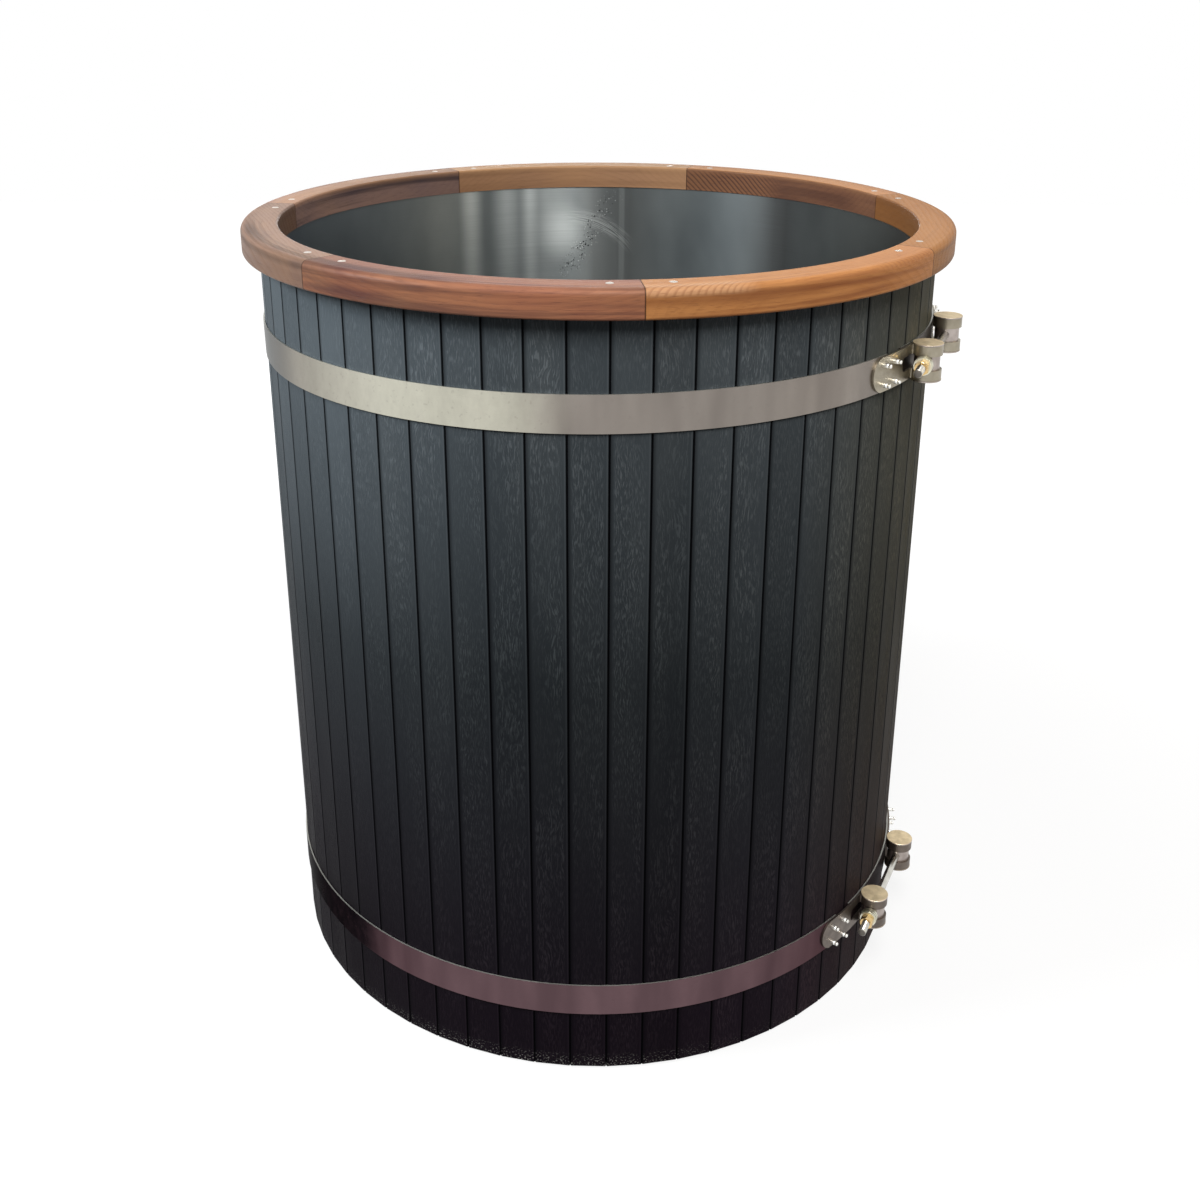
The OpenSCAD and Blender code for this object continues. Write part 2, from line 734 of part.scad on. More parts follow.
module upper_hoop_band() { upper() hoop_band(upper_turn); }
module upper_near_lug() { upper() at_near(upper_turn) lug(); }
module upper_far_lug() { upper() at_far(upper_turn) lug(); }
module upper_lug_rivets() {
  color("#f0f0ec") upper() { at_near(upper_turn) rivets(); at_far(upper_turn) rivets(); }
}
module upper_near_pin() { upper() on_rod(upper_turn, -pin_span / 2) pin(); }
module upper_far_pin() { upper() on_rod(upper_turn, pin_span / 2) pin(); }
module upper_rod() { upper() rod(upper_turn); }
module upper_disc_springs() { upper() on_rod(upper_turn, -pin_span / 2) disc_springs(); }
module upper_washer() { upper() on_rod(upper_turn, -pin_span / 2) rod_washer(); }
module upper_nut() { upper() on_rod(upper_turn, -pin_span / 2) rod_nut(); }
module upper_anchor_nut() { upper() on_rod(upper_turn, pin_span / 2) anchor_nut(); }

module lower_hoop_band() { lower() hoop_band(lower_turn); }
module lower_near_lug() { lower() at_near(lower_turn) lug(); }
module lower_far_lug() { lower() at_far(lower_turn) lug(); }
module lower_lug_rivets() {
  color("#f0f0ec") lower() { at_near(lower_turn) rivets(); at_far(lower_turn) rivets(); }
}
module lower_near_pin() { lower() on_rod(lower_turn, -pin_span / 2) pin(); }
module lower_far_pin() { lower() on_rod(lower_turn, pin_span / 2) pin(); }
module lower_rod() { lower() rod(lower_turn); }
module lower_disc_springs() { lower() on_rod(lower_turn, -pin_span / 2) disc_springs(); }
module lower_washer() { lower() on_rod(lower_turn, -pin_span / 2) rod_washer(); }
module lower_nut() { lower() on_rod(lower_turn, -pin_span / 2) rod_nut(); }
module lower_anchor_nut() { lower() on_rod(lower_turn, pin_span / 2) anchor_nut(); }

// Drain

module drain_flange() {
  bore = pipe_bore / 2;
  color("#b8babc") translate([0, drain_y, 0]) difference() {
    union() {
      translate([0, 0, drain_top]) cylinder(d = drain_flange_size[0], h = drain_flange_size[1]);
      translate([0, 0, neck_low]) cylinder(d = neck_d, h = drain_top - neck_low + cut);
      translate([0, 0, neck_low - tail_l]) cylinder(d = pipe_d, h = tail_l + cut);
    }
    translate([0, 0, neck_low - tail_l - cut]) cylinder(r = bore, h = drain_top);
    translate([0, 0, drain_top + drain_flange_size[1] - strainer_t])
      cylinder(d = strainer_d + 2 * strainer_clear, h = strainer_t + cut);
    translate([0, 0, drain_top - funnel_h])
      cylinder(r1 = bore, r2 = neck_d / 2 - neck_wall, h = funnel_h + drain_flange_size[1]);
  }
}

module strainer_cut() {
  translate([0, 0, -cut]) cylinder(d = strainer_hole, h = strainer_t + 2 * cut, $fn = 24);
}

// One hole in the middle, then a ring of six and a ring of twelve
module drain_strainer() {
  color("#d0d2d4") translate([0, drain_y, drain_top + drain_flange_size[1] - strainer_t]) difference() {
    cylinder(d = strainer_d, h = strainer_t);
    strainer_cut();
    for (ring = [1, 2]) for (k = [0:6 * ring - 1]) rotate([0, 0, k * 60 / ring])
      translate([ring * strainer_hole * 1.5, 0, 0]) strainer_cut();
  }
}

module drain_gasket() {
  color("#2b2b2b") translate([0, drain_y, liner_floor]) difference() {
    cylinder(d = drain_flange_size[0] - 2 * gasket_t, h = gasket_t);
    translate([0, 0, -cut]) cylinder(r = neck_d / 2 + neck_clear, h = gasket_t + 2 * cut);
  }
}

module drain_locknut() {
  color("#8f9194") translate([0, drain_y, liner_floor - sheet_t - locknut_size[1]]) difference() {
    cylinder(d = locknut_size[0], h = locknut_size[1], $fn = 8);
    translate([0, 0, -cut]) cylinder(r = neck_d / 2 + face_gap, h = locknut_size[1] + 2 * cut);
  }
}

module elbow_bore() {
  cylinder(d = pipe_bore, h = elbow_leg);
  translate([0, 0, elbow_leg - elbow_socket]) cylinder(r = pipe_d / 2 + pipe_clear, h = elbow_socket + cut);
}

module drain_elbow() {
  color("#8f9194") translate([0, drain_y, outlet_z]) difference() {
    union() {
      sphere(d = elbow_d);
      cylinder(d = elbow_d, h = elbow_leg);
      rotate([-90, 0, 0]) cylinder(d = elbow_d, h = elbow_leg);
    }
    elbow_bore();
    rotate([-90, 0, 0]) elbow_bore();
    sphere(d = pipe_bore);
  }
}

module drain_pipe() {
  start = drain_y + elbow_leg - elbow_socket + socket_gap;
  color("#b8babc") translate([0, start, outlet_z]) rotate([-90, 0, 0]) difference() {
    cylinder(d = pipe_d, h = pipe_end - start);
    translate([0, 0, -cut]) cylinder(d = pipe_bore, h = pipe_end - start + 2 * cut);
  }
}

module pipe_collar() {
  color("#2b2b2b") translate([0, body_r, outlet_z]) rotate([-90, 0, 0]) difference() {
    union() {
      cylinder(r = pipe_d / 2 + collar_out[0], h = collar_t[0]);
      translate([0, 0, collar_t[0]])
        cylinder(r1 = pipe_d / 2 + collar_out[1], r2 = pipe_d / 2 + collar_out[2], h = collar_t[1]);
    }
    translate([0, 0, -cut]) cylinder(r = pipe_d / 2 + collar_clear, h = collar_t[0] + collar_t[1] + 2 * cut);
  }
}

// Valve: drawn round the ball's centre with the pipe along Y

module at_valve() {
  translate([0, valve_y, outlet_z]) children();
}

module along_pipe(from, to, r) {
  translate([0, from, 0]) rotate([-90, 0, 0]) cylinder(r = r, h = to - from);
}

module valve_body() {
  drum_half = valve_d / 2 - 4;
  color("#b9a06a") at_valve() difference() {
    union() {
      along_pipe(-drum_half, drum_half, valve_d / 2);
      for (s = [0, 1]) mirror([0, s, 0]) translate([0, drum_half - cut, 0]) rotate([-90, 0, 0])
        cylinder(d = valve_hex / cos(30), h = valve_l - drum_half + cut, $fn = 6);
      cylinder(d = stem_d + 11, h = boss_top);
    }
    sphere(r = ball_d / 2 + cavity_clear);
    along_pipe(-seat_end - face_gap, seat_end + face_gap, seat_r + face_gap);
    along_pipe(-valve_l - cut, valve_l + cut, pipe_bore / 2);
    for (s = [0, 1]) mirror([0, s, 0])
      along_pipe(valve_l - socket_l, valve_l + cut, pipe_d / 2 + pipe_clear);
    cylinder(r = stem_d / 2 + stem_clear, h = boss_top + cut);
  }
}

module valve_seats() {
  color("#e8e8e4") at_valve() for (s = [0, 1]) mirror([0, s, 0]) difference() {
    along_pipe(ball_d / 4, seat_end, seat_r);
    along_pipe(0, seat_end + cut, pipe_bore / 2);
    sphere(r = ball_d / 2 + ball_clear);
  }
}

// The ball's bore lies across the pipe, as when the valve is shut
module valve_ball() {
  color("#d8d8d8") at_valve() difference() {
    sphere(r = ball_d / 2);
    translate([-ball_d, 0, 0]) rotate([0, 90, 0]) cylinder(d = pipe_bore, h = 2 * ball_d);
    translate([-blade / 2 - blade_clear, -ball_d / 2, ball_d / 2 - blade - 2 * blade_clear])
      cube([blade + 2 * blade_clear, ball_d, 2 * blade]);
  }
}

module valve_stem() {
  color("#d8d8d8") at_valve() {
    intersection() {
      translate([-blade / 2, -stem_d / 2, ball_d / 2 - blade]) cube([blade, stem_d, blade + 1.5 * cut]);
      cylinder(d = stem_d, h = ball_d);
    }
    translate([0, 0, ball_d / 2 + cut]) cylinder(d = stem_d, h = lever_z - blade_clear - ball_d / 2 - cut);
    translate([0, 0, boss_top + neck_up]) cylinder(d = stem_d - 2 * neck_in, h = stem_top - boss_top - neck_up);
  }
}

module valve_gland() {
  color("#b9a06a") at_valve() translate([0, 0, boss_top + face_gap])
    hex_nut(stem_d + 8, gland_h, stem_d / 2 + stem_clear);
}

// The lever in side view rises in one step from the stem to the grip
module lever_outline() {
  t = lever_size[1];
  a = stem_d + 4;
  b = a + lever_step;
  polygon([
    [-stem_d, 0], [a, 0], [b, lever_step], [lever_l, lever_step],
    [lever_l, lever_step + t], [b - t * 0.4, lever_step + t], [a - t * 0.4, t], [-stem_d, t]
  ]);
}

module valve_lever() {
  w = lever_size[0];
  color("#8f9194") at_valve() translate([0, 0, lever_z]) difference() {
    intersection() {
      translate([0, stem_d + 3, 0]) rotate([90, 0, 0]) linear_extrude(2 * stem_d + 6) lever_outline();
      translate([0, 0, -cut]) linear_extrude(lever_step + lever_size[1] + 2 * cut) {
        circle(r = stem_d);
        translate([0, -w / 2]) square([lever_l - w / 2, w]);
        translate([lever_l - w / 2, 0]) circle(d = w);
      }
    }
    translate([0, 0, -cut]) cylinder(r = stem_d / 2 - neck_in + face_gap, h = lever_size[1] + 2 * cut);
  }
}

module grip_outline(grow) {
  w = lever_size[0] + 2 * grow;
  translate([-grip_l, -w / 2]) square([grip_l - w / 2, w]);
  translate([-w / 2, 0]) circle(d = w);
}

module lever_grip() {
  t = lever_size[1];
  color("#c03028") at_valve() translate([lever_l, 0, lever_z + lever_step]) difference() {
    translate([grip_t, 0, -grip_t]) linear_extrude(t + 2 * grip_t) grip_outline(grip_t);
    translate([0, 0, -face_gap]) linear_extrude(t + 2 * face_gap) {
      translate([-2 * grip_l, -lever_size[0] / 2 - face_gap])
        square([2 * grip_l - lever_size[0] / 2, lever_size[0] + 2 * face_gap]);
      translate([-lever_size[0] / 2, 0]) circle(d = lever_size[0] + 2 * face_gap);
    }
  }
}

module lever_nut() {
  color("#d8d8d8") at_valve() translate([0, 0, lever_z + lever_size[1] + face_gap])
    hex_nut(stem_d + 4, lever_nut_h, stem_d / 2 - neck_in + face_gap);
}

base_bearers();
panel_screws();
base_panel();
floor_insulation();
liner();
wall_insulation();
staves_front();
staves_right();
staves_back();
staves_left();
rim_segment_1();
rim_segment_2();
rim_segment_3();
rim_segment_4();
rim_segment_5();
rim_segment_6();
rim_segment_7();
rim_splines();
rim_screws();
upper_hoop_band();
upper_near_lug();
upper_far_lug();
upper_lug_rivets();
upper_near_pin();
upper_far_pin();
upper_rod();
upper_disc_springs();
upper_washer();
upper_nut();
upper_anchor_nut();
lower_hoop_band();
lower_near_lug();
lower_far_lug();
lower_lug_rivets();
lower_near_pin();
lower_far_pin();
lower_rod();
lower_disc_springs();
lower_washer();
lower_nut();
lower_anchor_nut();
drain_strainer();
drain_flange();
drain_gasket();
drain_locknut();
drain_elbow();
drain_pipe();
pipe_collar();
valve_body();
valve_seats();
valve_ball();
valve_stem();
valve_gland();
valve_lever();
lever_grip();
lever_nut();
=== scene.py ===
import math

import bmesh
import bpy
from mathutils import Matrix, Vector


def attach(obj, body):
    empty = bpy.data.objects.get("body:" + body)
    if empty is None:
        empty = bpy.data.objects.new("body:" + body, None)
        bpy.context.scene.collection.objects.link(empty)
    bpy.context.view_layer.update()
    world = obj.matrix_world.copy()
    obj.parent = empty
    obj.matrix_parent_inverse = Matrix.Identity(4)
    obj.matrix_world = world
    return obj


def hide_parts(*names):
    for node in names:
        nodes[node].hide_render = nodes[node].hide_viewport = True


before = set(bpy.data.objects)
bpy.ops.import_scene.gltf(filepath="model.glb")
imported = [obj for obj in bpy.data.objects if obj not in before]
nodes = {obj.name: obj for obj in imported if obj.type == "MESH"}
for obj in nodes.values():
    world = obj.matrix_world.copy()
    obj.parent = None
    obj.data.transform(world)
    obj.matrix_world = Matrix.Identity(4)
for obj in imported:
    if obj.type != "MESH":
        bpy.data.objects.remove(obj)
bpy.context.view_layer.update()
print("frame loaded,", len(nodes), "nodes")

view = {
    "place": (0.0, -2.0976, 1.5243),
    "down": 20.66,  # degrees below level
    "roll": 0.155,
    "lens": 41.73,
    "sensor": 36,
    "shift": (0.0019, -0.1015),
    "reach": 50,  # metres that the camera sees
}


def addObject(name, data):
    added = bpy.data.objects.new(name, data)
    bpy.context.scene.collection.objects.link(added)
    return added


def placeCamera():
    lens = bpy.data.cameras.new("camera")
    lens.lens = view["lens"]
    lens.sensor_width = view["sensor"]
    lens.shift_x, lens.shift_y = view["shift"]
    lens.clip_end = view["reach"]
    camera = addObject("camera", lens)
    turn = Matrix.Rotation(math.radians(90 - view["down"]), 4, "X")
    roll = Matrix.Rotation(math.radians(view["roll"]), 4, "Z")
    camera.matrix_world = Matrix.Translation(view["place"]) @ turn @ roll
    bpy.context.scene.camera = camera


placeCamera()
print("camera placed")


class Wire:  # one output socket, so that shader maths reads as sums
    def __init__(self, tree, socket):
        self.tree = tree
        self.socket = socket

    def math(self, operation, *more):  # a Math node whose first value is this one
        return self.tree.math(operation, self, *more)

    def __neg__(self):
        return self.math("MULTIPLY", -1)

    def __add__(self, other):
        return self.math("ADD", other)

    def __radd__(self, other):
        return self.tree.math("ADD", other, self)

    def __sub__(self, other):
        return self.math("SUBTRACT", other)

    def __rsub__(self, other):
        return self.tree.math("SUBTRACT", other, self)

    def __mul__(self, other):
        return self.math("MULTIPLY", other)

    def __rmul__(self, other):
        return self.tree.math("MULTIPLY", other, self)

    def __truediv__(self, other):
        return self.math("DIVIDE", other)


class Tree:  # the nodes of a material or a world
    def __init__(self, owner):
        owner.use_nodes = True
        self.nodes = owner.node_tree.nodes
        self.links = owner.node_tree.links

    def add(self, kind, settings=(), sockets=(), out=0):  # out names one output, or is a tuple of them
        node = self.nodes.new(kind)
        for name, value in dict(settings).items():
            setattr(node, name, value)
        for name, value in dict(sockets).items():
            if isinstance(value, Wire):
                self.links.new(value.socket, node.inputs[name])
            else:
                node.inputs[name].default_value = value
        if isinstance(out, tuple):
            return [Wire(self, node.outputs[name]) for name in out]
        return Wire(self, node.outputs[out])

    def math(self, operation, *values):
        return self.add("ShaderNodeMath", {"operation": operation}, dict(enumerate(values)))

    def seen(self):  # 1 for what the camera, metal or glass sees, 0 for what only lights
        rays = ("Is Camera Ray", "Is Glossy Ray", "Is Transmission Ray")
        camera, glossy, through = self.add("ShaderNodeLightPath", out=rays)
        return (camera + glossy + through).math("MINIMUM", 1.0)


class Finish(Tree):  # a material with one Principled shader
    def __init__(self, name, **shader):
        self.material = bpy.data.materials.new(name)
        super().__init__(self.material)
        self.shader = self.nodes["Principled BSDF"]
        for socket, value in shader.items():
            self.shader.inputs[socket.replace("_", " ")].default_value = value

    def feed(self, **sockets):
        for name, wire in sockets.items():
            self.links.new(wire.socket, self.shader.inputs[name.replace("_", " ")])

    def place(self):
        return self.add("ShaderNodeTexCoord", out="Object")

    def split(self, vector):
        return self.add("ShaderNodeSeparateXYZ", {}, {0: vector}, out=(0, 1, 2))

    def point(self, x, y, z):
        return self.add("ShaderNodeCombineXYZ", {}, {0: x, 1: y, 2: z})

    def distance(self, first, second):
        return self.add("ShaderNodeVectorMath", {"operation": "DISTANCE"}, {0: first, 1: second}, "Value")

    def facing(self):  # 1 on what faces up, 0 on what is upright, -1 on what faces down
        return self.split(self.add("ShaderNodeNewGeometry", out="True Normal"))[2]

    def noise(self, vector, scale=1.0, detail=2.0, rough=0.5, warp=0.0):
        sockets = {"Vector": vector, "Scale": scale, "Detail": detail, "Roughness": rough, "Distortion": warp}
        return self.add("ShaderNodeTexNoise", {"noise_dimensions": "3D"}, sockets)

    def grain(self, values, scales, shift=0, **kind):  # noise with a scale for each of its three values
        x, y, z = [value * scale for value, scale in zip(values, scales)]
        return self.noise(self.point(x, y, z + shift), **kind)

    def cells(self, vector, scale, out="Distance"):
        return self.add("ShaderNodeTexVoronoi", {"voronoi_dimensions": "3D"}, {"Vector": vector, "Scale": scale}, out)

    def chance(self, value):  # a random number for each whole value
        return self.add("ShaderNodeTexWhiteNoise", {"noise_dimensions": "1D"}, {"W": value}, "Value")

    def band(self, value, low, high, start=0.0, end=1.0, smooth=False):
        kind = {"interpolation_type": "SMOOTHSTEP"} if smooth else {"clamp": True}
        sockets = {"Value": value, "From Min": low, "From Max": high, "To Min": start, "To Max": end}
        return self.add("ShaderNodeMapRange", kind, sockets)

    def stretch(self, value, start, full, fall, end):  # 1 from full to fall, 0 before start and after end
        return self.band(value, start, full) * self.band(value, fall, end, 1, 0)

    def mix(self, share, first, second, blend="MIX"):
        settings = {"data_type": "RGBA", "blend_type": blend}
        return self.add("ShaderNodeMix", settings, {0: share, 6: first, 7: second}, 2)

    def bump(self, height, distance):
        return self.add("ShaderNodeBump", {}, {"Height": height, "Distance": distance, "Strength": 1.0})

    def roundTub(self):  # angle from the front in radians, radius and height
        x, y, z = self.split(self.place())
        angle = x.math("ARCTAN2", -y)
        radius = (x * x + y * y).math("SQRT")
        return angle, radius, z


def tone(red, green, blue):  # a screen colour of 0 to 255 as Blender's linear values
    def linear(value):
        value /= 255
        return value / 12.92 if value <= 0.04045 else ((value + 0.055) / 1.055) ** 2.4
    return (linear(red), linear(green), linear(blue), 1.0)


def dress(finish, *names):
    for name in names:
        node = nodes[name]
        node.data.materials.clear()
        node.data.materials.append(finish.material)


boards = {
    "count": 60,
    "firstJoint": 1.66,  # degrees from the front
    "width": 0.0523,
    # the colours by height hold painted shade towards the foot and painted light towards the top
    "heights": (0.08, 0.62, 1.12),  # where the three colours of valley and ridge stand
    "valley": (tone(23, 17, 24), tone(34, 37, 40), tone(64, 70, 74)),
    "ridge": (tone(44, 36, 43), tone(58, 62, 64), tone(92, 98, 102)),
    "shades": (0.87, 1.13),  # brightness of the darkest and of the lightest board
    "emboss": 0.0004,
    # how fast the grain changes across a board, up it and from board to board
    "wave": (30, 13, 41),
    "fleck": (800, 88, 17),
    "arc": (150, 14, 29),
    "patch": (24, 4.5, 53),
    "sway": 0.022,  # how far the waves bend the flecks
    # how fast dust and chips change round the tub, up it and outwards
    "dust": (7, 2.5, 1),
    "chip": (160, 400, 90),
    # turn: radians from the front between which a side's painted light comes in; light: its brightness at the two
    # heights
    "left": {"turn": (-0.2, -0.8), "heights": (0.15, 0.8), "light": (0.45, 1.35)},
    "right": {"turn": (0.2, 0.75), "heights": (0.35, 1.0), "light": (1.9, 1.3)},
    "warm": (1.26, 1.02, 0.64, 1),  # painted reflection: a warm tint on the far right side
    "warmTurn": (0.55, 1.15),
    "fade": (1.35, 2.2),  # radians from the front between which the sides' painted light and reflection end
    "quiet": (-2.2, -1.35, -0.95, -0.2),  # the stretch at the left where a painted sheen lifts the colour and dims the grain
    "worn": (-0.9, -0.2, 0.1, 0.4),  # the stretch with most of the wear at the foot
    "foot": (0.006, 0.028),  # heights between which that wear ends
    # shares of a board's width: the painted shade of its left side, the middle and half width of the painted
    # highlight line at its right, and from its middle to where a joint's black begins and is full
    "shaded": (0.03, 0.13),
    "lit": (0.945, 0.03),
    "jointEdge": (0.460, 0.482),
    "margin": (0.33, 0.43),  # from its middle to where the grain fades and is gone
    "joint": tone(5, 5, 7),
    "scuff": tone(168, 166, 160),
    "dusty": tone(150, 154, 152),
}


def boardFinish():
    f = Finish("embossed board plastic", Specular_IOR_Level=0.015)
    angle, radius, z = f.roundTub()
    pitch = 2 * math.pi / boards["count"]
    along = (angle - math.radians(boards["firstJoint"])) / pitch
    number = along.math("FLOOR")
    share = along - number  # 0 at a board's left joint, 1 at its right one
    across = (share - 0.5) * boards["width"]
    offMiddle = (share - 0.5).math("ABSOLUTE")
    half = boards["count"] / 2
    seed = f.chance(number.math("WRAP", half - 1, -half - 1))  # the board across the back has one number, not two

    # wavy grain: short upright flecks that follow wide arcs, and smooth margins beside the joints
    bent = across + (f.grain((across, z, seed), boards["wave"], detail=1.5) - 0.5) * boards["sway"]
    fleck = f.grain((bent, z, seed), boards["fleck"], 3, detail=1.5, rough=0.55)
    arc = f.grain((bent, z, seed), boards["arc"], 7, detail=1.0, warp=0.5)
    line = f.band(fleck, 0.49, 0.62, smooth=True)
    swirl = f.band((arc * 16).math("PINGPONG", 1.0), 0.62, 1.0, smooth=True)
    patch = f.band(f.grain((across, z, seed), boards["patch"], detail=1.0), 0.36, 0.6, 0.25, 1.0)
    margin = f.band(offMiddle, *boards["margin"], 1, 0, smooth=True)
    relief = (line * 0.8 + swirl * 0.25) * patch * margin
    # painted sheen at the left: dimmer grain and a colour lifted towards the ridge's
    quiet = f.stretch(angle, *boards["quiet"])
    shown = relief * (1 - quiet * 0.65) + quiet * 0.2

    # colours by height: painted shade towards the foot and painted light towards the top
    low, middle, high = boards["heights"]
    lower, upper = f.band(z, low, middle), f.band(z, middle, high)
    shades = [f.mix(upper, f.mix(lower, foot, mid), top) for foot, mid, top in (boards["valley"], boards["ridge"])]
    shade = f.mix(shown, *shades)
    near = f.band(angle.math("ABSOLUTE"), *boards["fade"], 1, 0, smooth=True)
    darkest, lightest = boards["shades"]
    light = seed * (lightest - darkest) + darkest
    # painted light and shade of the two sides, on top of each board's own random brightness
    for side in (boards["left"], boards["right"]):
        paintedLift = f.band(z, *side["heights"], *side["light"]) - 1
        light = light * (f.band(angle, *side["turn"]) * paintedLift * near + 1)
    shade = f.mix(1.0, shade, light, "MULTIPLY")
    # painted reflection: a warm tint on the far right side
    shade = f.mix(f.band(angle, *boards["warmTurn"]) * near, shade, boards["warm"], "MULTIPLY")
    dust = f.grain((angle, z, radius), boards["dust"], detail=3.0)
    shade = f.mix(f.band(dust, 0.45, 0.8) * 0.04 * f.band(z, 0.3, 1.0), shade, boards["dusty"])
    # painted shade beside a board's left joint and a painted highlight line before its right one
    shaded = f.band(share, *boards["shaded"], 1, 0, smooth=True)
    litMiddle, litHalf = boards["lit"]
    lit = f.band((share - litMiddle).math("ABSOLUTE"), 0.0, litHalf, 1, 0, smooth=True)
    shade = f.mix(shaded * 0.45, shade, boards["joint"])
    shade = f.mix(lit * 0.35, shade, shades[1])
    chip = f.band(f.grain((angle, z, radius), boards["chip"], detail=3.0), 0.58, 0.64)
    chip = chip * f.band(z, *boards["foot"], 1, 0)
    shade = f.mix(chip * (0.15 + f.stretch(angle, *boards["worn"]) * 0.6), shade, boards["scuff"])
    edge = f.band(offMiddle, *boards["jointEdge"], smooth=True)
    shade = f.mix(edge * 0.94, shade, boards["joint"])
    gloss = 0.48 + 0.14 * relief + 0.1 * f.band(dust, 0.4, 0.7)
    f.feed(Base_Color=shade, Roughness=gloss, Normal=f.bump(relief + chip, boards["emboss"]))
    return f


dress(boardFinish(), "staves_front", "staves_right", "staves_back", "staves_left")
print("boards dressed")


rim = {
    "joint": 6.0,  # degrees from the front to the joint before segment 1
    "count": 7,
    "radius": 0.4975,
    "innerFace": 0.471,
    "top": 1.163,
    "seam": tone(58, 36, 26),
    "paintedSheen": tone(208, 158, 104),
    # how fast the wood changes along a plank, outwards and up
    "drift": (5, 16, 16),
    "fibre": (14, 900, 900),
    "stripe": (2.2, 60, 60),
    "pore": (60, 1500, 1500),
    "cloud": (9, 20, 20),
    "sway": 0.02,  # how far the drift bends the rings
    "innerDark": (0.0025, 0.0008),  # metres outside the inner face between which its painted shade comes in
    "endsAt": (-0.19, 0.19),  # metres from a plank's middle where the painted brightness of its ends is full
    "seamWidth": (0.0003, 0.0014),
    "crownUp": (-0.009, -0.001),  # heights from the top between which the top's painted sheen comes in
    "crownAway": (0.022, 0.002, 0.15, 0.6),  # and its shares at two distances outwards
    # light, dark and streak colours; the pith's distance outwards and up; ring spacing; slope; strengths of rings and
    # streaks; how much painted shade darkens the inner face; painted brightness at the left and right ends; colour of
    # the top, a painted sheen
    "planks": [
        {"light": tone(188, 128, 76), "dark": tone(144, 90, 50), "streak": tone(122, 68, 40), "pith": (0.12, -0.07),
         "ring": 0.0060, "slope": 0.03, "rings": 0.16, "streaks": 0.6, "inner": 0.3,
         "ends": (0.84, 1.08), "crown": tone(184, 132, 88)},
        {"light": tone(164, 110, 56), "dark": tone(124, 80, 42), "streak": tone(96, 60, 36), "pith": (0.12, -0.09),
         "ring": 0.0065, "slope": 0.10, "rings": 0.12, "streaks": 0.4, "inner": 0.7,
         "ends": (1.0, 1.0), "crown": tone(168, 118, 76)},
        {"light": tone(150, 104, 74), "dark": tone(104, 70, 54), "streak": tone(62, 40, 34), "pith": (0.10, 0.11),
         "ring": 0.0075, "slope": 0.22, "rings": 0.3, "streaks": 0.4, "inner": 0.72,
         "ends": (1.3, 1.1), "crown": tone(186, 134, 88)},
        {"light": tone(156, 119, 90), "dark": tone(128, 93, 68), "streak": tone(108, 78, 56), "pith": (0.20, -0.16),
         "ring": 0.0048, "slope": 0.03, "rings": 0.22, "streaks": 0.35, "inner": 0.35,
         "ends": (1.0, 1.1), "crown": tone(176, 138, 100)},
        {"light": tone(128, 104, 98), "dark": tone(90, 74, 76), "streak": tone(58, 50, 56), "pith": (0.16, 0.12),
         "ring": 0.006, "slope": 0.04, "rings": 0.12, "streaks": 0.9, "inner": 0.1,
         "ends": (0.85, 1.2), "crown": tone(170, 128, 94)},
        {"light": tone(114, 88, 74), "dark": tone(94, 71, 60), "streak": tone(76, 57, 48), "pith": (0.22, -0.10),
         "ring": 0.006, "slope": 0.07, "rings": 0.06, "streaks": 0.25, "inner": 0.2,
         "ends": (1.0, 1.0), "crown": tone(146, 120, 106)},
        {"light": tone(142, 92, 68), "dark": tone(106, 64, 52), "streak": tone(78, 48, 46), "pith": (0.11, 0.14),
         "ring": 0.0062, "slope": 0.05, "rings": 0.28, "streaks": 0.85, "inner": 0.2,
         "ends": (0.78, 1.05), "crown": tone(138, 100, 86)},
    ],
    # by plank: close slanting rings, or a dark streak where there is no spacing; spans are in metres along, outwards
    # and up from the middle of the plank's top
    "figures": {
        # plank 1: the slanting rings are grain; the first one's pale ground is a painted highlight on the upper outer
        # edge
        1: [{"spans": ((-0.25, -0.09), (0.002, 0.040), (-0.012, 0.01)), "lean": (1.5, 0.0), "spacing": 0.0086,
             "strength": 0.38, "ground": tone(212, 168, 130)},
            {"spans": ((0.08, 0.25), (-0.03, 0.036), (-0.010, 0.01)), "lean": (-1.2, 0.0), "spacing": 0.0090,
             "strength": 0.25, "ground": tone(176, 122, 76)},
            {"spans": ((-0.16, 0.16), (0.016, 0.06), (-0.036, -0.008)), "strength": 0.5}],
        3: [{"spans": ((0.02, 0.25), (-0.06, -0.018), (-0.05, -0.001)), "lean": (0.0, -1.1), "spacing": 0.0095,
             "strength": 1.0, "ground": tone(184, 128, 84)},
            # plank 3: painted shade on the inner face, in streaks
            {"spans": ((-0.16, 0.06), (-0.06, -0.018), (-0.05, -0.004)), "strength": 0.6}],
        # plank 5: painted shade on the inner face, in streaks
        5: [{"spans": ((-0.02, 0.26), (-0.06, -0.016), (-0.05, -0.004)), "strength": 0.6}],
        # plank 6: painted shade on the upper outer edge, in streaks
        6: [{"spans": ((-0.10, 0.30), (-0.006, 0.034), (-0.016, 0.02)), "strength": 0.8}],
        7: [{"spans": ((-0.30, 0.03), (-0.006, 0.034), (-0.022, 0.02)), "strength": 0.8}],
    },
}


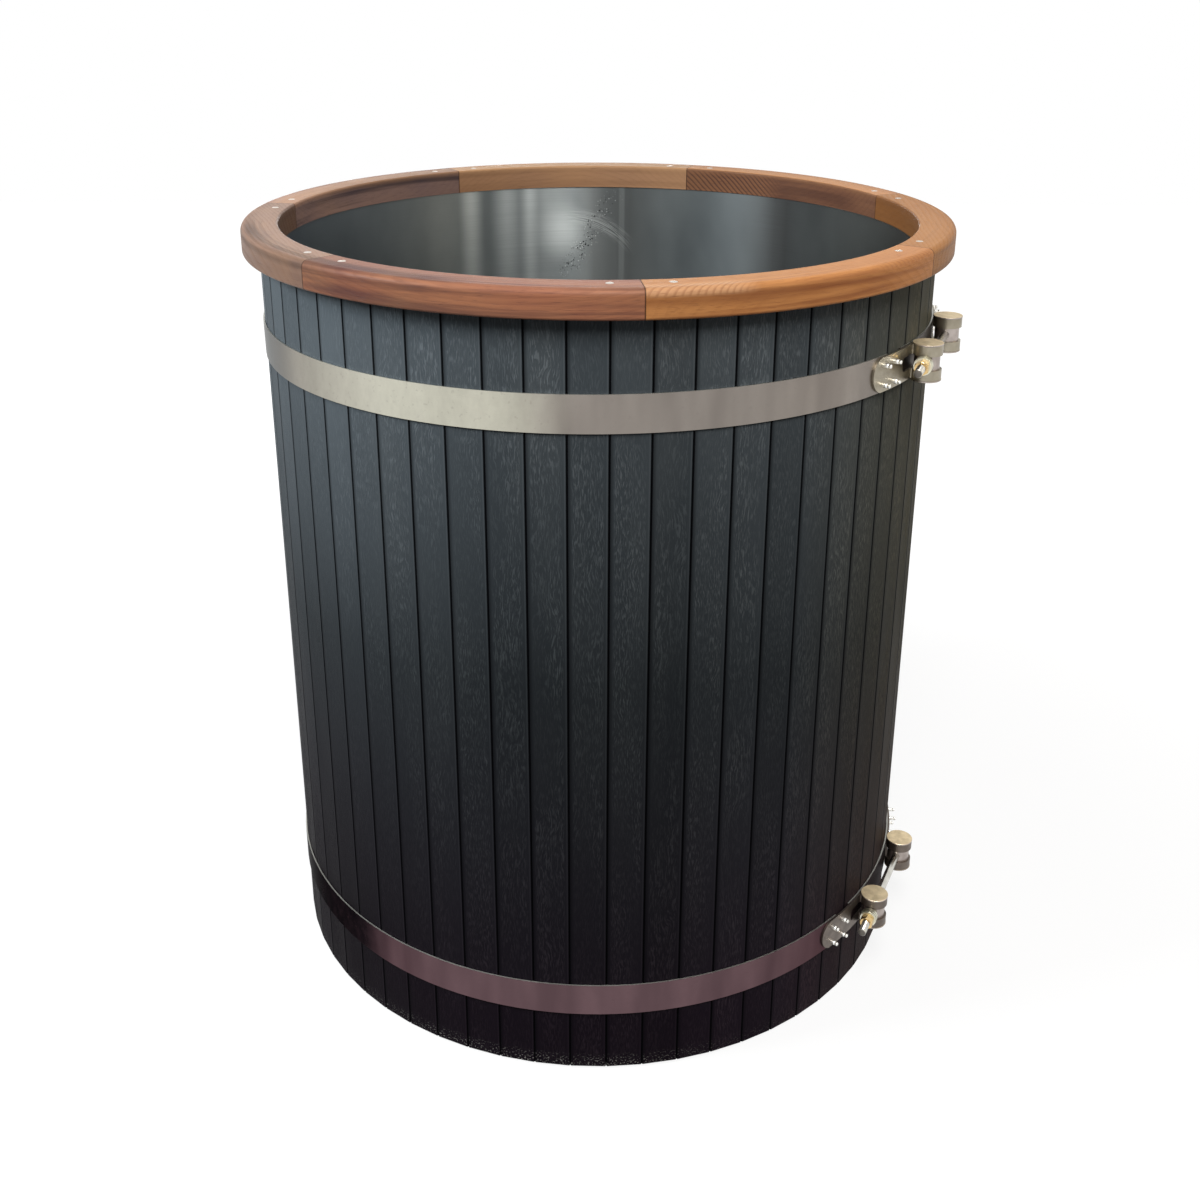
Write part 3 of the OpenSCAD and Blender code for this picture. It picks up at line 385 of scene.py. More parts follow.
def plankFinish(number, plank):
    f = Finish("rim wood %d" % number, Specular_IOR_Level=0.1, Coat_Roughness=0.3)
    sweep = math.pi / rim["count"]  # half of the angle that a plank spans
    middle = math.radians(rim["joint"]) + (number * 2 - 1) * sweep
    atFront = f.add("ShaderNodeVectorRotate", {"rotation_type": "Z_AXIS"}, {"Vector": f.place(), "Angle": -middle})
    x, y, z = f.split(atFront)
    radius = (x * x + y * y).math("SQRT")
    away = radius - rim["radius"]
    outward = -y - rim["radius"]
    up = z - rim["top"]
    seed = number * 3.7

    sway = (f.grain((x, outward, up), rim["drift"], seed, detail=2.0) - 0.5) * rim["sway"]
    pithOut, pithUp = plank["pith"]
    acrossPith = outward - pithOut + x * plank["slope"] + sway
    abovePith = up - pithUp + x * plank["slope"] * 0.7
    depth = (acrossPith * acrossPith + abovePith * abovePith).math("SQRT")
    growth = (depth / plank["ring"]).math("FRACT")
    late = f.band(growth, 0.35, 0.92, smooth=True) * f.band(growth, 0.94, 1.0, 1, 0)

    fibre = f.grain((x, away, up), rim["fibre"], seed, detail=3.0, rough=0.6)
    stripe = f.grain((x, away, up), rim["stripe"], seed, detail=3.0, rough=0.55, warp=0.4)
    pore = f.band(f.grain((x, away, up), rim["pore"], seed, detail=1.0), 0.62, 0.72)
    patch = f.band(stripe, 0.42, 0.66, smooth=True)

    colour = f.mix(late * plank["rings"] + (fibre - 0.5) * 0.5, plank["light"], plank["dark"])
    colour = f.mix(patch * plank["streaks"], colour, plank["streak"])
    # painted sheen on the top
    colour = f.mix(f.band(up, *rim["crownUp"]) * f.band(away, *rim["crownAway"]), colour, plank["crown"])
    for figure in rim["figures"].get(number, []):
        held = 1
        for value, (start, end) in zip((x, away, up), figure["spans"]):
            soft = (end - start) * 0.2
            held = f.stretch(value, start, start + soft, end - soft, end) * held
        mask = f.band(stripe, 0.36, 0.52)
        if "spacing" in figure:
            outLean, upLean = figure["lean"]
            tooth = ((x + away * outLean + up * upLean + sway) / figure["spacing"]).math("FRACT")
            mask = f.band(tooth, 0.4, 0.8, smooth=True) * f.band(tooth, 0.86, 1.0, 1, 0)
            colour = f.mix(held * 0.5, colour, figure["ground"])
        colour = f.mix(mask * held * figure["strength"], colour, plank["streak"])
    colour = f.mix(pore * 0.45, colour, plank["streak"])
    # patches of painted sheen
    cloud = f.grain((x, outward, up), rim["cloud"], seed * 2, detail=2.0)
    colour = f.mix(f.band(cloud, 0.35, 0.75) * 0.12, colour, rim["paintedSheen"])
    # painted shade on the inner face
    inner = f.band(radius - rim["innerFace"], *rim["innerDark"])
    colour = f.mix(inner * plank["inner"], colour, plank["streak"])
    # painted light and shade along the plank, towards its ends
    colour = f.mix(1.0, colour, f.band(x, *rim["endsAt"], *plank["ends"]), "MULTIPLY")
    gap = (sweep - x.math("ARCTAN2", -y).math("ABSOLUTE")) * radius  # metres to the nearer end joint
    colour = f.mix(f.band(gap, *rim["seamWidth"], 0.75, 0), colour, rim["seam"])
    gloss = 0.36 + 0.16 * fibre + 0.08 * late
    relief = fibre * 0.5 - pore * 0.7 - late * 0.3
    f.feed(Base_Color=colour, Roughness=gloss, Normal=f.bump(relief, 0.00018), Coat_Weight=0.04 * cloud)
    return f


for number, plank in enumerate(rim["planks"], 1):
    dress(plankFinish(number, plank), "rim_segment_%d" % number)
print("rim dressed")


hoops = {
    # gleam: a painted reflection, bright on the upper hoop and dark on the lower; degrees where it starts, is full,
    # begins to fall and ends, then strength and colour; far is the painted shade at the left end of what the front
    # shows, last the painted shade beside the near lug
    "upper": {"bright": tone(144, 137, 130), "dull": tone(124, 117, 111), "rough": 0.38, "edge": 0.7,
              "gleam": (-66, -30, -15, -2, 0.5, tone(226, 226, 206)), "far": tone(92, 98, 98),
              "last": tone(58, 50, 44)},
    "lower": {"bright": tone(106, 84, 88), "dull": tone(88, 69, 73), "rough": 0.42, "edge": 0.25,
              "gleam": (-130, -80, -46, -35, 0.95, tone(22, 24, 28)), "far": tone(18, 20, 26),
              "last": tone(70, 68, 68)},
    # how fast the steel changes round the tub, outwards and up
    "fine": (7, 900, 2600),
    "patch": (9, 10, 4),
    "smear": (40, 40, 45),
    "speck": (110, 200, 200),
    "farTurn": (-0.93, -1.18),  # radians
    "lastTurn": (46, 57),  # degrees
    "behind": (80, 130),  # degrees from the front between which the painted tints of both ends fade
    # painted highlight on the band's upward faces
    "topEdge": tone(214, 214, 206),
}


def hoopFinish(side):
    hoop = hoops[side]
    tint = (hoop["edge"], hoop["edge"], hoop["edge"], 1)
    f = Finish(side + " hoop steel", Metallic=1.0, Anisotropic=0.4, Anisotropic_Rotation=0.25, Specular_Tint=tint)
    onBand = f.roundTub()
    angle = onBand[0]
    fine = f.grain(onBand, hoops["fine"], detail=2.0, rough=0.7)
    patch = f.grain(onBand, hoops["patch"], detail=2.0, rough=0.6)
    smear = f.grain(onBand, hoops["smear"], detail=3.0, rough=0.6)
    speck = f.band(f.grain(onBand, hoops["speck"], detail=1.0), 0.66, 0.74)
    start, full, fall, end, strength, gleam = hoop["gleam"]
    turn = angle * (180 / math.pi)
    near = f.band(turn, start, full) * f.band(turn, fall, end, 1, 0, smooth=True)
    behind = f.band(turn.math("ABSOLUTE"), *hoops["behind"], 1, 0, smooth=True)
    shade = f.mix(f.band(patch, 0.34, 0.66), hoop["dull"], hoop["bright"])
    # the gleam: a painted reflection, bright on the upper hoop and dark on the lower
    shade = f.mix(near * strength, shade, gleam)
    # painted shade at the left end of what the front shows
    shade = f.mix(f.band(angle, *hoops["farTurn"]) * behind * 0.85, shade, hoop["far"])
    shade = f.mix(f.band(smear, 0.35, 0.7) * 0.16 + fine * 0.16 + speck * 0.2, shade, hoop["dull"])
    # painted shade beside the near lug
    shade = f.mix(f.band(turn, *hoops["lastTurn"]) * behind * 0.8, shade, hoop["last"])
    # painted highlight where the band faces up
    shade = f.mix(f.band(f.facing(), 0.35, 0.7) * 0.85, shade, hoops["topEdge"])
    gloss = hoop["rough"] + (patch - 0.5) * 0.1 + (fine - 0.5) * 0.1 + (smear - 0.5) * 0.08
    f.feed(Base_Color=shade, Roughness=gloss, Normal=f.bump(fine, 0.00003))
    return f


dress(hoopFinish("upper"), "upper_hoop_band")
dress(hoopFinish("lower"), "lower_hoop_band")
print("hoops dressed")


liner = {
    "bright": tone(130, 136, 136),
    "dull": tone(110, 116, 117),
    # left and right: painted reflection, darker tints of the wall's two sides
    "left": tone(94, 110, 122),
    "right": tone(104, 104, 98),
    # gleam: colour of the painted highlights
    "gleam": tone(226, 232, 230),
    "shadow": tone(52, 50, 48),
    "brushed": tone(92, 98, 100),
    "wetDark": tone(26, 30, 30),
    "welded": tone(168, 174, 172),
    "rough": 0.44,
    "wall": (0.40, 0.43),  # radii between which the floor ends and the wall's finish comes in
    # how fast the steel changes round the tub, outwards and up
    "brush": (0.09, 500, 2400),
    "scratch": (0.03, 20, 700),
    "cloud": (0.07, 10, 5),
    # degrees to the right of the back, here and in what follows
    "leftTurn": (-48, -92),
    "rightTurn": (30, 95),
    "front": (100, 150),  # where the painted tints of both sides fade
    # upright painted highlights: middle, half width, strength
    "gleams": [(-28.9, 3.4, 0.40), (-20.6, 4.5, 0.42), (-15.6, 2.6, 0.38), (-12.0, 8.0, 0.25), (-4.0, 7.0, 0.08)],
    "gleamHeights": (0.98, 1.10, 0.8, 1.35),  # two heights and the painted highlights' strength at them
    "glow": (-8.3, 1.045, 7.0, 0.07, 0.48),  # a soft round painted highlight: middle, height, half sizes, strength
    # upright stretches of painted shade: where each starts, is full, begins to fade and ends, and its strength
    "shadeBands": [(16, 41, 44, 57, 0.98), (-6, -1, 7, 14, 0.65)],
    "weld": 5.1,
    "wiped": (-0.058, 0.470, 0.922),  # middle of the arc of a cloth's last wipe
    "wipedRadius": 0.150,
    "wipedTurn": (-9, -3, 3, 9),
    "splash": (-0.043, 0.993, 0.6),  # foot of a run of drops: to the right, height, lean
    "splashHeights": (0.955, 0.985, 1.09, 1.12),
    "drops": 250,  # cells to a metre that the drops sit in
}


def linerFinish():
    f = Finish("brushed liner steel", Metallic=1.0, Anisotropic=0.75, Anisotropic_Rotation=0.25)
    place = f.place()
    x, y, z = f.split(place)
    turn = x.math("ARCTAN2", y) * (180 / math.pi)  # 0 at the back, positive to the right
    radius = (x * x + y * y).math("SQRT")
    wall = f.band(radius, *liner["wall"])
    brush = f.grain((turn, radius, z), liner["brush"], detail=3.0, rough=0.75)
    scratch = f.grain((turn, radius, z), liner["scratch"], detail=3.0, rough=0.7)
    wallCloud = f.grain((turn, radius, z), liner["cloud"], detail=3.0, rough=0.5)
    cloud = wallCloud * wall + f.noise(place, 5, detail=3.0) * (1 - wall)

    shade = f.mix(f.band(cloud, 0.35, 0.68), liner["dull"], liner["bright"])
    # painted reflection: darker tints on the wall's left and right
    beside = f.band(turn.math("ABSOLUTE"), *liner["front"], 0.8, 0, smooth=True) * wall
    shade = f.mix(f.band(turn, *liner["leftTurn"]) * beside, shade, liner["left"])
    shade = f.mix(f.band(turn, *liner["rightTurn"]) * beside, shade, liner["right"])
    # painted shade in upright stretches
    for *edges, strength in liner["shadeBands"]:
        shade = f.mix(f.stretch(turn, *edges) * strength * wall, shade, liner["shadow"])

    # painted highlights: upright streaks and a soft round glow
    gleam = sum(f.band((turn - middle).math("ABSOLUTE"), 0, width, strength, 0, smooth=True)
                for middle, width, strength in liner["gleams"])
    gleam = gleam * f.band(z, *liner["gleamHeights"])
    middle, height, wide, tall, strength = liner["glow"]
    offGlow = f.distance(f.point((turn - middle) / wide, (z - height) / tall, 0.0), (0, 0, 0))
    gleam = gleam + f.band(offGlow, 0, 1, strength, 0, smooth=True)
    gleam = gleam * f.band(turn, liner["weld"] + 0.6, liner["weld"] - 0.4) * f.band(scratch, 0.3, 0.7, 0.85, 1.1)

    away = f.distance(place, liner["wiped"])
    rings = f.noise(f.point(away * 760, turn * 0.25, z * 9), detail=2.0, rough=0.6)
    arc = f.band((away - liner["wipedRadius"]).math("ABSOLUTE"), 0.0, 0.02, 1, 0, smooth=True)
    arc = arc * f.band(rings, 0.42, 0.62) * f.stretch(turn, *liner["wipedTurn"]) * f.band(z, 1.0, 1.03)
    footX, footZ, lean = liner["splash"]
    offLine = (x - footX - (z - footZ) * lean).math("ABSOLUTE")
    run = f.band(offLine, 0.006, 0.030, 1, 0, smooth=True) * f.stretch(z, *liner["splashHeights"])
    drop = f.band(f.cells(place, liner["drops"]), 0.15, 0.45, 1, 0, smooth=True) * run
    drop = drop * f.band(f.noise(place, 60, detail=1.0), 0.40, 0.52) * wall
    kind = f.split(f.cells(place, liner["drops"], "Color"))[0]  # some drops are dark and some bright
    weld = f.band((turn - liner["weld"]).math("ABSOLUTE"), 0.3, 0.9, 1, 0, smooth=True) * wall

    shade = f.mix(brush * 0.35, shade, liner["brushed"])
    # painted highlights, with the wiped arc in the same colour
    shade = f.mix(gleam * wall + arc * wall * 0.36, shade, liner["gleam"])
    shade = f.mix(drop * 0.7, shade, f.mix(f.band(kind, 0.5, 0.6), liner["wetDark"], liner["gleam"]))
    shade = f.mix(weld * 0.12, shade, liner["welded"])
    gloss = liner["rough"] + (cloud - 0.5) * 0.08 - arc * 0.12 - drop * 0.2
    height = brush * 0.5 + scratch * 0.3 + drop * 2.5 + weld * 1.5
    f.feed(Base_Color=shade, Roughness=gloss, Normal=f.bump(height, 0.00006))
    return f


dress(linerFinish(), "liner")
print("liner dressed")


steels = {
    "spring steel": {"light": tone(232, 230, 214), "dark": tone(196, 194, 176), "rough": 0.34,
                     "on": ("upper_disc_springs", "lower_disc_springs", "upper_washer", "lower_washer")},
    "rivet steel": {"light": tone(250, 250, 246), "dark": tone(232, 230, 224), "rough": 0.34, "on": ()},
    "screw steel": {"light": tone(222, 218, 210), "dark": tone(190, 186, 178), "rough": 0.3, "on": ()},
    "lug steel": {"light": tone(170, 162, 145), "dark": tone(134, 127, 112), "rough": 0.38,
                  "on": ("upper_near_lug", "upper_far_lug")},
    # a darker copy of lug steel: painted shade on the lower lugs
    "shaded lug steel": {"light": tone(122, 112, 104), "dark": tone(92, 84, 78), "rough": 0.42,
                         "on": ("lower_near_lug", "lower_far_lug")},
    "nut steel": {"light": tone(236, 206, 150), "dark": tone(196, 164, 112), "rough": 0.24,
                  "on": ("upper_nut", "upper_anchor_nut", "lower_nut", "lower_anchor_nut", "lever_nut")},
    "fastener steel": {"light": tone(216, 214, 208), "dark": tone(176, 174, 168), "rough": 0.3,
                       "on": ("panel_screws", "drain_strainer")},
    "pipe steel": {"light": tone(178, 180, 180), "dark": tone(146, 148, 148), "rough": 0.36,
                   "on": ("drain_pipe", "drain_elbow", "drain_flange", "drain_locknut", "valve_lever")},
    "valve brass": {"light": tone(190, 160, 96), "dark": tone(150, 122, 70), "rough": 0.32,
                    "on": ("valve_body", "valve_gland")},
    "ball chrome": {"light": tone(214, 216, 218), "dark": tone(190, 192, 194), "rough": 0.12,
                    "on": ("valve_ball", "valve_stem")},
}


def steelFinish(name):
    steel = steels[name]
    f = Finish(name, Metallic=1.0)
    place = f.place()
    fine = f.noise(place, 900, detail=3.0, rough=0.65)
    cloud = f.noise(place, 60, detail=2.0)
    shade = f.mix(f.band(cloud, 0.3, 0.7) * 0.6 + fine * 0.3, steel["light"], steel["dark"])
    gloss = steel["rough"] + (fine - 0.5) * 0.14 + (cloud - 0.5) * 0.1
    f.feed(Base_Color=shade, Roughness=gloss, Normal=f.bump(fine, 0.00002))
    return f


pins = {
    "side": (tone(182, 172, 166), tone(158, 148, 142)),
    "end": (tone(246, 228, 192), tone(206, 188, 154)),
    "rough": (0.36, 0.56),  # of the sides and of the ends
}


def pinFinish():
    f = Finish("pin steel", Metallic=1.0)
    place = f.place()
    fine = f.noise(place, 1100, detail=3.0, rough=0.65)
    cloud = f.band(f.noise(place, 90, detail=2.0), 0.3, 0.7)
    cap = f.band(f.facing().math("ABSOLUTE"), 0.6, 0.8)
    shade = f.mix(cap, f.mix(cloud, *pins["side"]), f.mix(cloud * 0.7 + fine * 0.4, *pins["end"]))
    sideRough, endRough = pins["rough"]
    gloss = sideRough + cap * (endRough - sideRough) + (fine - 0.5) * 0.14
    f.feed(Base_Color=shade, Roughness=gloss, Normal=f.bump(fine, 0.00002))
    return f


steelFinishes = {name: steelFinish(name) for name in steels}
for name, finish in steelFinishes.items():
    dress(finish, *steels[name]["on"])
dress(pinFinish(), "upper_near_pin", "upper_far_pin", "lower_near_pin", "lower_far_pin")
print("steel dressed")


softParts = {
    # grain is how fine the grain is, depth the height of its bumps
    "panel board": {"light": tone(158, 124, 84), "dark": tone(110, 82, 54), "rough": 0.62, "grain": 90,
                    "depth": 0.0003, "on": ("base_panel",)},
    "insulating foam": {"light": tone(226, 216, 178), "dark": tone(196, 182, 138), "rough": 0.85, "grain": 700,
                        "depth": 0.0006, "on": ("floor_insulation", "wall_insulation")},
    "black rubber": {"light": tone(30, 30, 31), "dark": tone(18, 18, 19), "rough": 0.6, "grain": 500,
                     "depth": 0.0002, "on": ("drain_gasket", "pipe_collar")},
    "seat plastic": {"light": tone(232, 232, 226), "dark": tone(206, 206, 198), "rough": 0.4, "grain": 300,
                     "depth": 0.0001, "on": ("valve_seats",)},
    "grip vinyl": {"light": tone(176, 32, 26), "dark": tone(132, 22, 18), "rough": 0.42, "grain": 900,
                   "depth": 0.00015, "on": ("lever_grip",)},
}


def softFinish(name, soft):
    f = Finish(name)
    place = f.place()
    grain = f.noise(place, soft["grain"], detail=4.0, rough=0.6)
    patch = f.noise(place, soft["grain"] * 0.06, detail=2.0)
    shade = f.mix(f.band(grain, 0.35, 0.7) * 0.6, soft["light"], soft["dark"])
    shade = f.mix(f.band(patch, 0.4, 0.8) * 0.3, shade, soft["dark"])
    f.feed(Base_Color=shade, Roughness=soft["rough"] + (grain - 0.5) * 0.2, Normal=f.bump(grain, soft["depth"]))
    return f


timbers = {
    "bearer timber": {"light": tone(176, 142, 100), "dark": tone(120, 90, 60), "on": "base_bearers"},
    "spline wood": {"light": tone(190, 160, 118), "dark": tone(150, 118, 80), "on": "rim_splines"},
}


def timberFinish(name, timber):
    f = Finish(name)
    x, y, z = f.split(f.place())
    fibre = f.grain((x, y, z), (8, 260, 260), detail=3.0, rough=0.6)
    abovePith = z + 0.05
    ring = ((y * y + abovePith * abovePith).math("SQRT") * 190 + fibre).math("FRACT")
    shade = f.mix(f.band(ring, 0.3, 1.0) * 0.6 + fibre * 0.3, timber["light"], timber["dark"])
    f.feed(Base_Color=shade, Roughness=0.6 + 0.2 * fibre, Normal=f.bump(fibre, 0.0002))
    return f


for name, soft in softParts.items():
    dress(softFinish(name, soft), *soft["on"])
for name, timber in timbers.items():
    dress(timberFinish(name, timber), timber["on"])
print("timber and soft parts dressed")


def lathe(rows, steps, pitch=1.0):  # rows of radius, height and thread depth, along the axis
    shape = bmesh.new()
    rings = []
    for radius, height, depth in rows:
        if radius == 0:
            rings.append([shape.verts.new((0, 0, height))] * steps)
            continue
        ring = []
        for k in range(steps):
            wave = abs(2 * ((height / pitch - k / steps) % 1) - 1)
            reach = radius - depth * (1 - wave)
            angle = 2 * math.pi * k / steps
            ring.append(shape.verts.new((reach * math.cos(angle), reach * math.sin(angle), height)))
        rings.append(ring)
    for low, high in zip(rings, rings[1:]):
        for k in range(steps):
            after = (k + 1) % steps
            corners = list(dict.fromkeys([low[k], low[after], high[after], high[k]]))
            if len(corners) > 2:
                shape.faces.new(corners)
    return shape


def thread(start, end, radius, depth, pitch):  # a lathe's rows, with the thread running out at both ends
    rowsPerTurn = 8
    count = max(2, round((end - start) / pitch * rowsPerTurn))
    rows = []
    for k in range(count + 1):
        share = k / count
        fade = min(1.0, k / rowsPerTurn, (count - k) / rowsPerTurn)
        rows.append((radius, start + (end - start) * share, depth * fade))
    return rows


def copied(shape, places):  # copies of a shape at places, in one shape
    whole = bmesh.new()
    for place in places:
        copy = bpy.data.meshes.new("copy")
        shape.to_mesh(copy)
        copy.transform(place)
        whole.from_mesh(copy)
        bpy.data.meshes.remove(copy)
    shape.free()
    return whole


def meshOf(name, shape):  # the shape as a mesh, with its faces turned outwards
    bmesh.ops.recalc_face_normals(shape, faces=shape.faces)
    mesh = bpy.data.meshes.new(name)
    shape.to_mesh(mesh)
    shape.free()
    return mesh


def makePiece(name, shape, finish, body, stands, sharp=35):
    mesh = meshOf(name, shape)
    mesh.shade_smooth()
    mesh.set_sharp_from_angle(angle=math.radians(sharp))
    mesh.materials.append(finish.material)
    piece = addObject(name, mesh)
    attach(piece, body)
    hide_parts(*stands)


def carved(shape, cutter):  # shape with cutter taken out of it
    blank = addObject("blank", meshOf("blank", shape))
    tool = addObject("cutter", meshOf("cutter", cutter))
    cut = blank.modifiers.new("cut", "BOOLEAN")
    cut.operation = "DIFFERENCE"
    cut.solver = "EXACT"
    cut.object = tool
    bpy.context.view_layer.update()
    result = bmesh.new()
    result.from_mesh(blank.evaluated_get(bpy.context.evaluated_depsgraph_get()).data)
    for holder in (blank, tool):
        mesh = holder.data
        bpy.data.objects.remove(holder)
        bpy.data.meshes.remove(mesh)
    return result


rimScrew = {
    "aside": 4.438,  # degrees from the joint to each screw of its pair
    "radius": 0.490565,
    "top": 1.1628,
    "head": 0.0052,
    "crown": 0.0007,
    "crownSteps": 6,
    "shank": 0.0025,
    "length": 0.061,
    "threadTop": -0.022,
    "threadDepth": 0.0006,
    "pitch": 0.0024,
    "slot": (0.0052, 0.0011, 0.0016),  # length, width and depth of the cross
    "slotFoot": 0.45,  # size of the cross at its foot, as a share
}


def screwBlank():  # a rim screw with a plain crown, standing on its tip
    head, shank, length, crown = (rimScrew[key] for key in ("head", "shank", "length", "crown"))
    neck = shank - head
    rows = [(0, -length, 0), (0.0006, 0.001 - length, 0), (shank * 0.8, 0.006 - length, 0.0002)]
    rows += thread(0.007 - length, rimScrew["threadTop"], shank, rimScrew["threadDepth"], rimScrew["pitch"])
    rows += [(shank, -0.021, 0), (shank, neck - 0.0006, 0), (head - 0.0002, -0.0004, 0), (head, -0.0001, 0)]
    steps = rimScrew["crownSteps"]
    for k in range(1, steps + 1):
        angle = math.pi / 2 * k / steps
        rows.append((head * math.cos(angle) if k < steps else 0, crown * math.sin(angle), 0))
    return lathe(rows, 32, rimScrew["pitch"])


def crossCutter():  # what leaves the cross slot in a screw's crown
    long, wide, deep = rimScrew["slot"]
    foot, crown = rimScrew["slotFoot"], rimScrew["crown"]
    outline = []
    for x, y in ((1, 1), (-1, 1), (-1, -1), (1, -1)):
        corners = [(x * long / 2, y * wide / 2), (x * wide / 2, y * wide / 2), (x * wide / 2, y * long / 2)]
        outline += corners if x * y > 0 else corners[::-1]
    cutter = bmesh.new()
    top = [cutter.verts.new((x, y, crown + 0.001)) for x, y in outline]
    low = [cutter.verts.new((x * foot, y * foot, crown - deep)) for x, y in outline]
    cutter.faces.new(top)
    cutter.faces.new(low)
    for k in range(len(top)):
        after = (k + 1) % len(top)
        cutter.faces.new((top[k], top[after], low[after], low[k]))
    return cutter


def buildRimScrews():
    radius, top = rimScrew["radius"], rimScrew["top"]
    places = []
    for number in range(rim["count"]):
        joint = rim["joint"] + number * 360 / rim["count"]
        for side in (-1, 1):
            angle = math.radians(joint + side * rimScrew["aside"])
            spot = Matrix.Translation((radius * math.sin(angle), -radius * math.cos(angle), top))
            places.append(spot @ Matrix.Rotation(number * 1.3 + side * 0.7, 4, "Z"))  # each cross stands its own way
    screws = copied(carved(screwBlank(), crossCutter()), places)
    makePiece("rimScrews", screws, steelFinishes["screw steel"], "tub", ["rim_screws"])


tensioner = {
    "upper": {"turn": 67.6, "height": 1.0045, "tilt": 0.45},
    "lower": {"turn": 65.0, "height": 0.126, "tilt": 0.0},
    "plate": 0.50525,  # radius of a plate's outer face
    "pinAngle": 8.905,
    "rodRadius": 0.5169,
    "near": 0.15021,  # from the rod's middle to its two ends
    "far": 0.11085,
    "rod": 0.006,
    "chamfer": (0.0009, 0.0010),  # along the rod and in from its side
    "pitch": 0.00175,
    "threadDepth": 0.0009,
    "nearThread": 0.052,
    "farThread": 0.030,
    "rodLight": tone(222, 220, 212),
    "rodDark": tone(180, 178, 170),
    "sawn": tone(70, 62, 56),  # the rod's near end, darker and rougher
    "rivets": (0.083, 0.026, 0.027),  # distance from the pin, spaces along and across
    "rivetFoot": 0.5003,
    "rivetShank": 0.0025,
    # radius and height above the plate, from the plate up
    "rivetHead": [(0.0025, 0), (0.0033, 0), (0.0034, 0.0008), (0.0034, 0.0062), (0.0031, 0.0074), (0.0024, 0.0082),
                  (0.0028, 0.0090), (0.0030, 0.0104), (0.0027, 0.0116), (0.0018, 0.0123), (0, 0.0125)],
}


def hoopPlace(side, angle):
    hoop = tensioner[side]
    tilt = Matrix.Rotation(math.radians(-hoop["tilt"]), 4, "Y")
    turn = Matrix.Rotation(math.radians(hoop["turn"]) + angle, 4, "Z")
    return Matrix.Translation((0, 0, hoop["height"])) @ tilt @ turn


def rodFinish(side):
    f = Finish(side + " rod steel", Metallic=1.0)
    place = f.place()
    x, y, z = f.split(place)
    turn = math.radians(tensioner[side]["turn"])
    along = x * math.cos(turn) + y * math.sin(turn)
    fine = f.noise(place, 900, detail=3.0, rough=0.65)
    cloud = f.band(f.noise(place, 60), 0.3, 0.7)
    shade = f.mix(cloud * 0.6 + fine * 0.3, tensioner["rodLight"], tensioner["rodDark"])
    sawn = f.band(along, 0.0012 - tensioner["near"], -tensioner["near"])
    shade = f.mix(sawn * 0.85, shade, tensioner["sawn"])
    f.feed(Base_Color=shade, Roughness=0.22 + (fine - 0.5) * 0.14 + sawn * 0.25, Normal=f.bump(fine, 0.00002))
    return f


def buildRod(side):
    radius, pitch, depth = tensioner["rod"], tensioner["pitch"], tensioner["threadDepth"]
    near, far = -tensioner["near"], tensioner["far"]
    slope, inset = tensioner["chamfer"]
    rows = [(0, near, 0), (radius - inset, near, 0)]
    rows += thread(near + slope, near + tensioner["nearThread"], radius, depth, pitch)
    rows += thread(far - tensioner["farThread"], far - slope, radius, depth, pitch)
    rows += [(radius - inset, far, 0), (0, far, 0)]
    lie = Matrix.Translation((0, -tensioner["rodRadius"], 0)) @ Matrix.Rotation(math.pi / 2, 4, "Y")
    rod = copied(lathe(rows, 28, pitch), [hoopPlace(side, 0) @ lie])
    makePiece(side + "ThreadedRod", rod, rodFinish(side), "tub", [side + "_rod"], 60)


def buildRivets(side):
    foot, shank = tensioner["plate"] - tensioner["rivetFoot"], tensioner["rivetShank"]
    rows = [(0, 0, 0), (shank, 0, 0)] + [(radius, foot + height, 0) for radius, height in tensioner["rivetHead"]]
    middle, along, across = tensioner["rivets"]
    places = []
    for lug in (-1, 1):
        for step in (-0.5, 0.5):
            for level in (-0.5, 0.5):
                angle = lug * (math.radians(tensioner["pinAngle"]) + (middle + step * along) / tensioner["plate"])
                stand = Matrix.Translation((0, -tensioner["rivetFoot"], level * across))
                places.append(hoopPlace(side, angle) @ stand @ Matrix.Rotation(math.pi / 2, 4, "X"))
    rivets = copied(lathe(rows, 24), places)
    makePiece(side + "Rivets", rivets, steelFinishes["rivet steel"], "tub", [side + "_lug_rivets"])


softEdges = {
    "width": 0.0004,
    "angle": 40,  # degrees above which an edge counts as sharp
    "on": ("upper_hoop_band", "lower_hoop_band", "upper_near_lug", "upper_far_lug", "lower_near_lug", "lower_far_lug",
           "upper_nut", "lower_nut", "upper_anchor_nut", "lower_anchor_nut"),
}


def softenEdges():  # a small round on a CAD node's sharp edges
    for name in softEdges["on"]:
        bevel = nodes[name].modifiers.new("soft edges", "BEVEL")
        bevel.width = softEdges["width"]
        bevel.segments = 2
        bevel.limit_method = "ANGLE"
        bevel.angle_limit = math.radians(softEdges["angle"])


buildRimScrews()
for side in ("upper", "lower"):
    buildRod(side)
    buildRivets(side)
softenEdges()
print("screws, rods and rivets built")


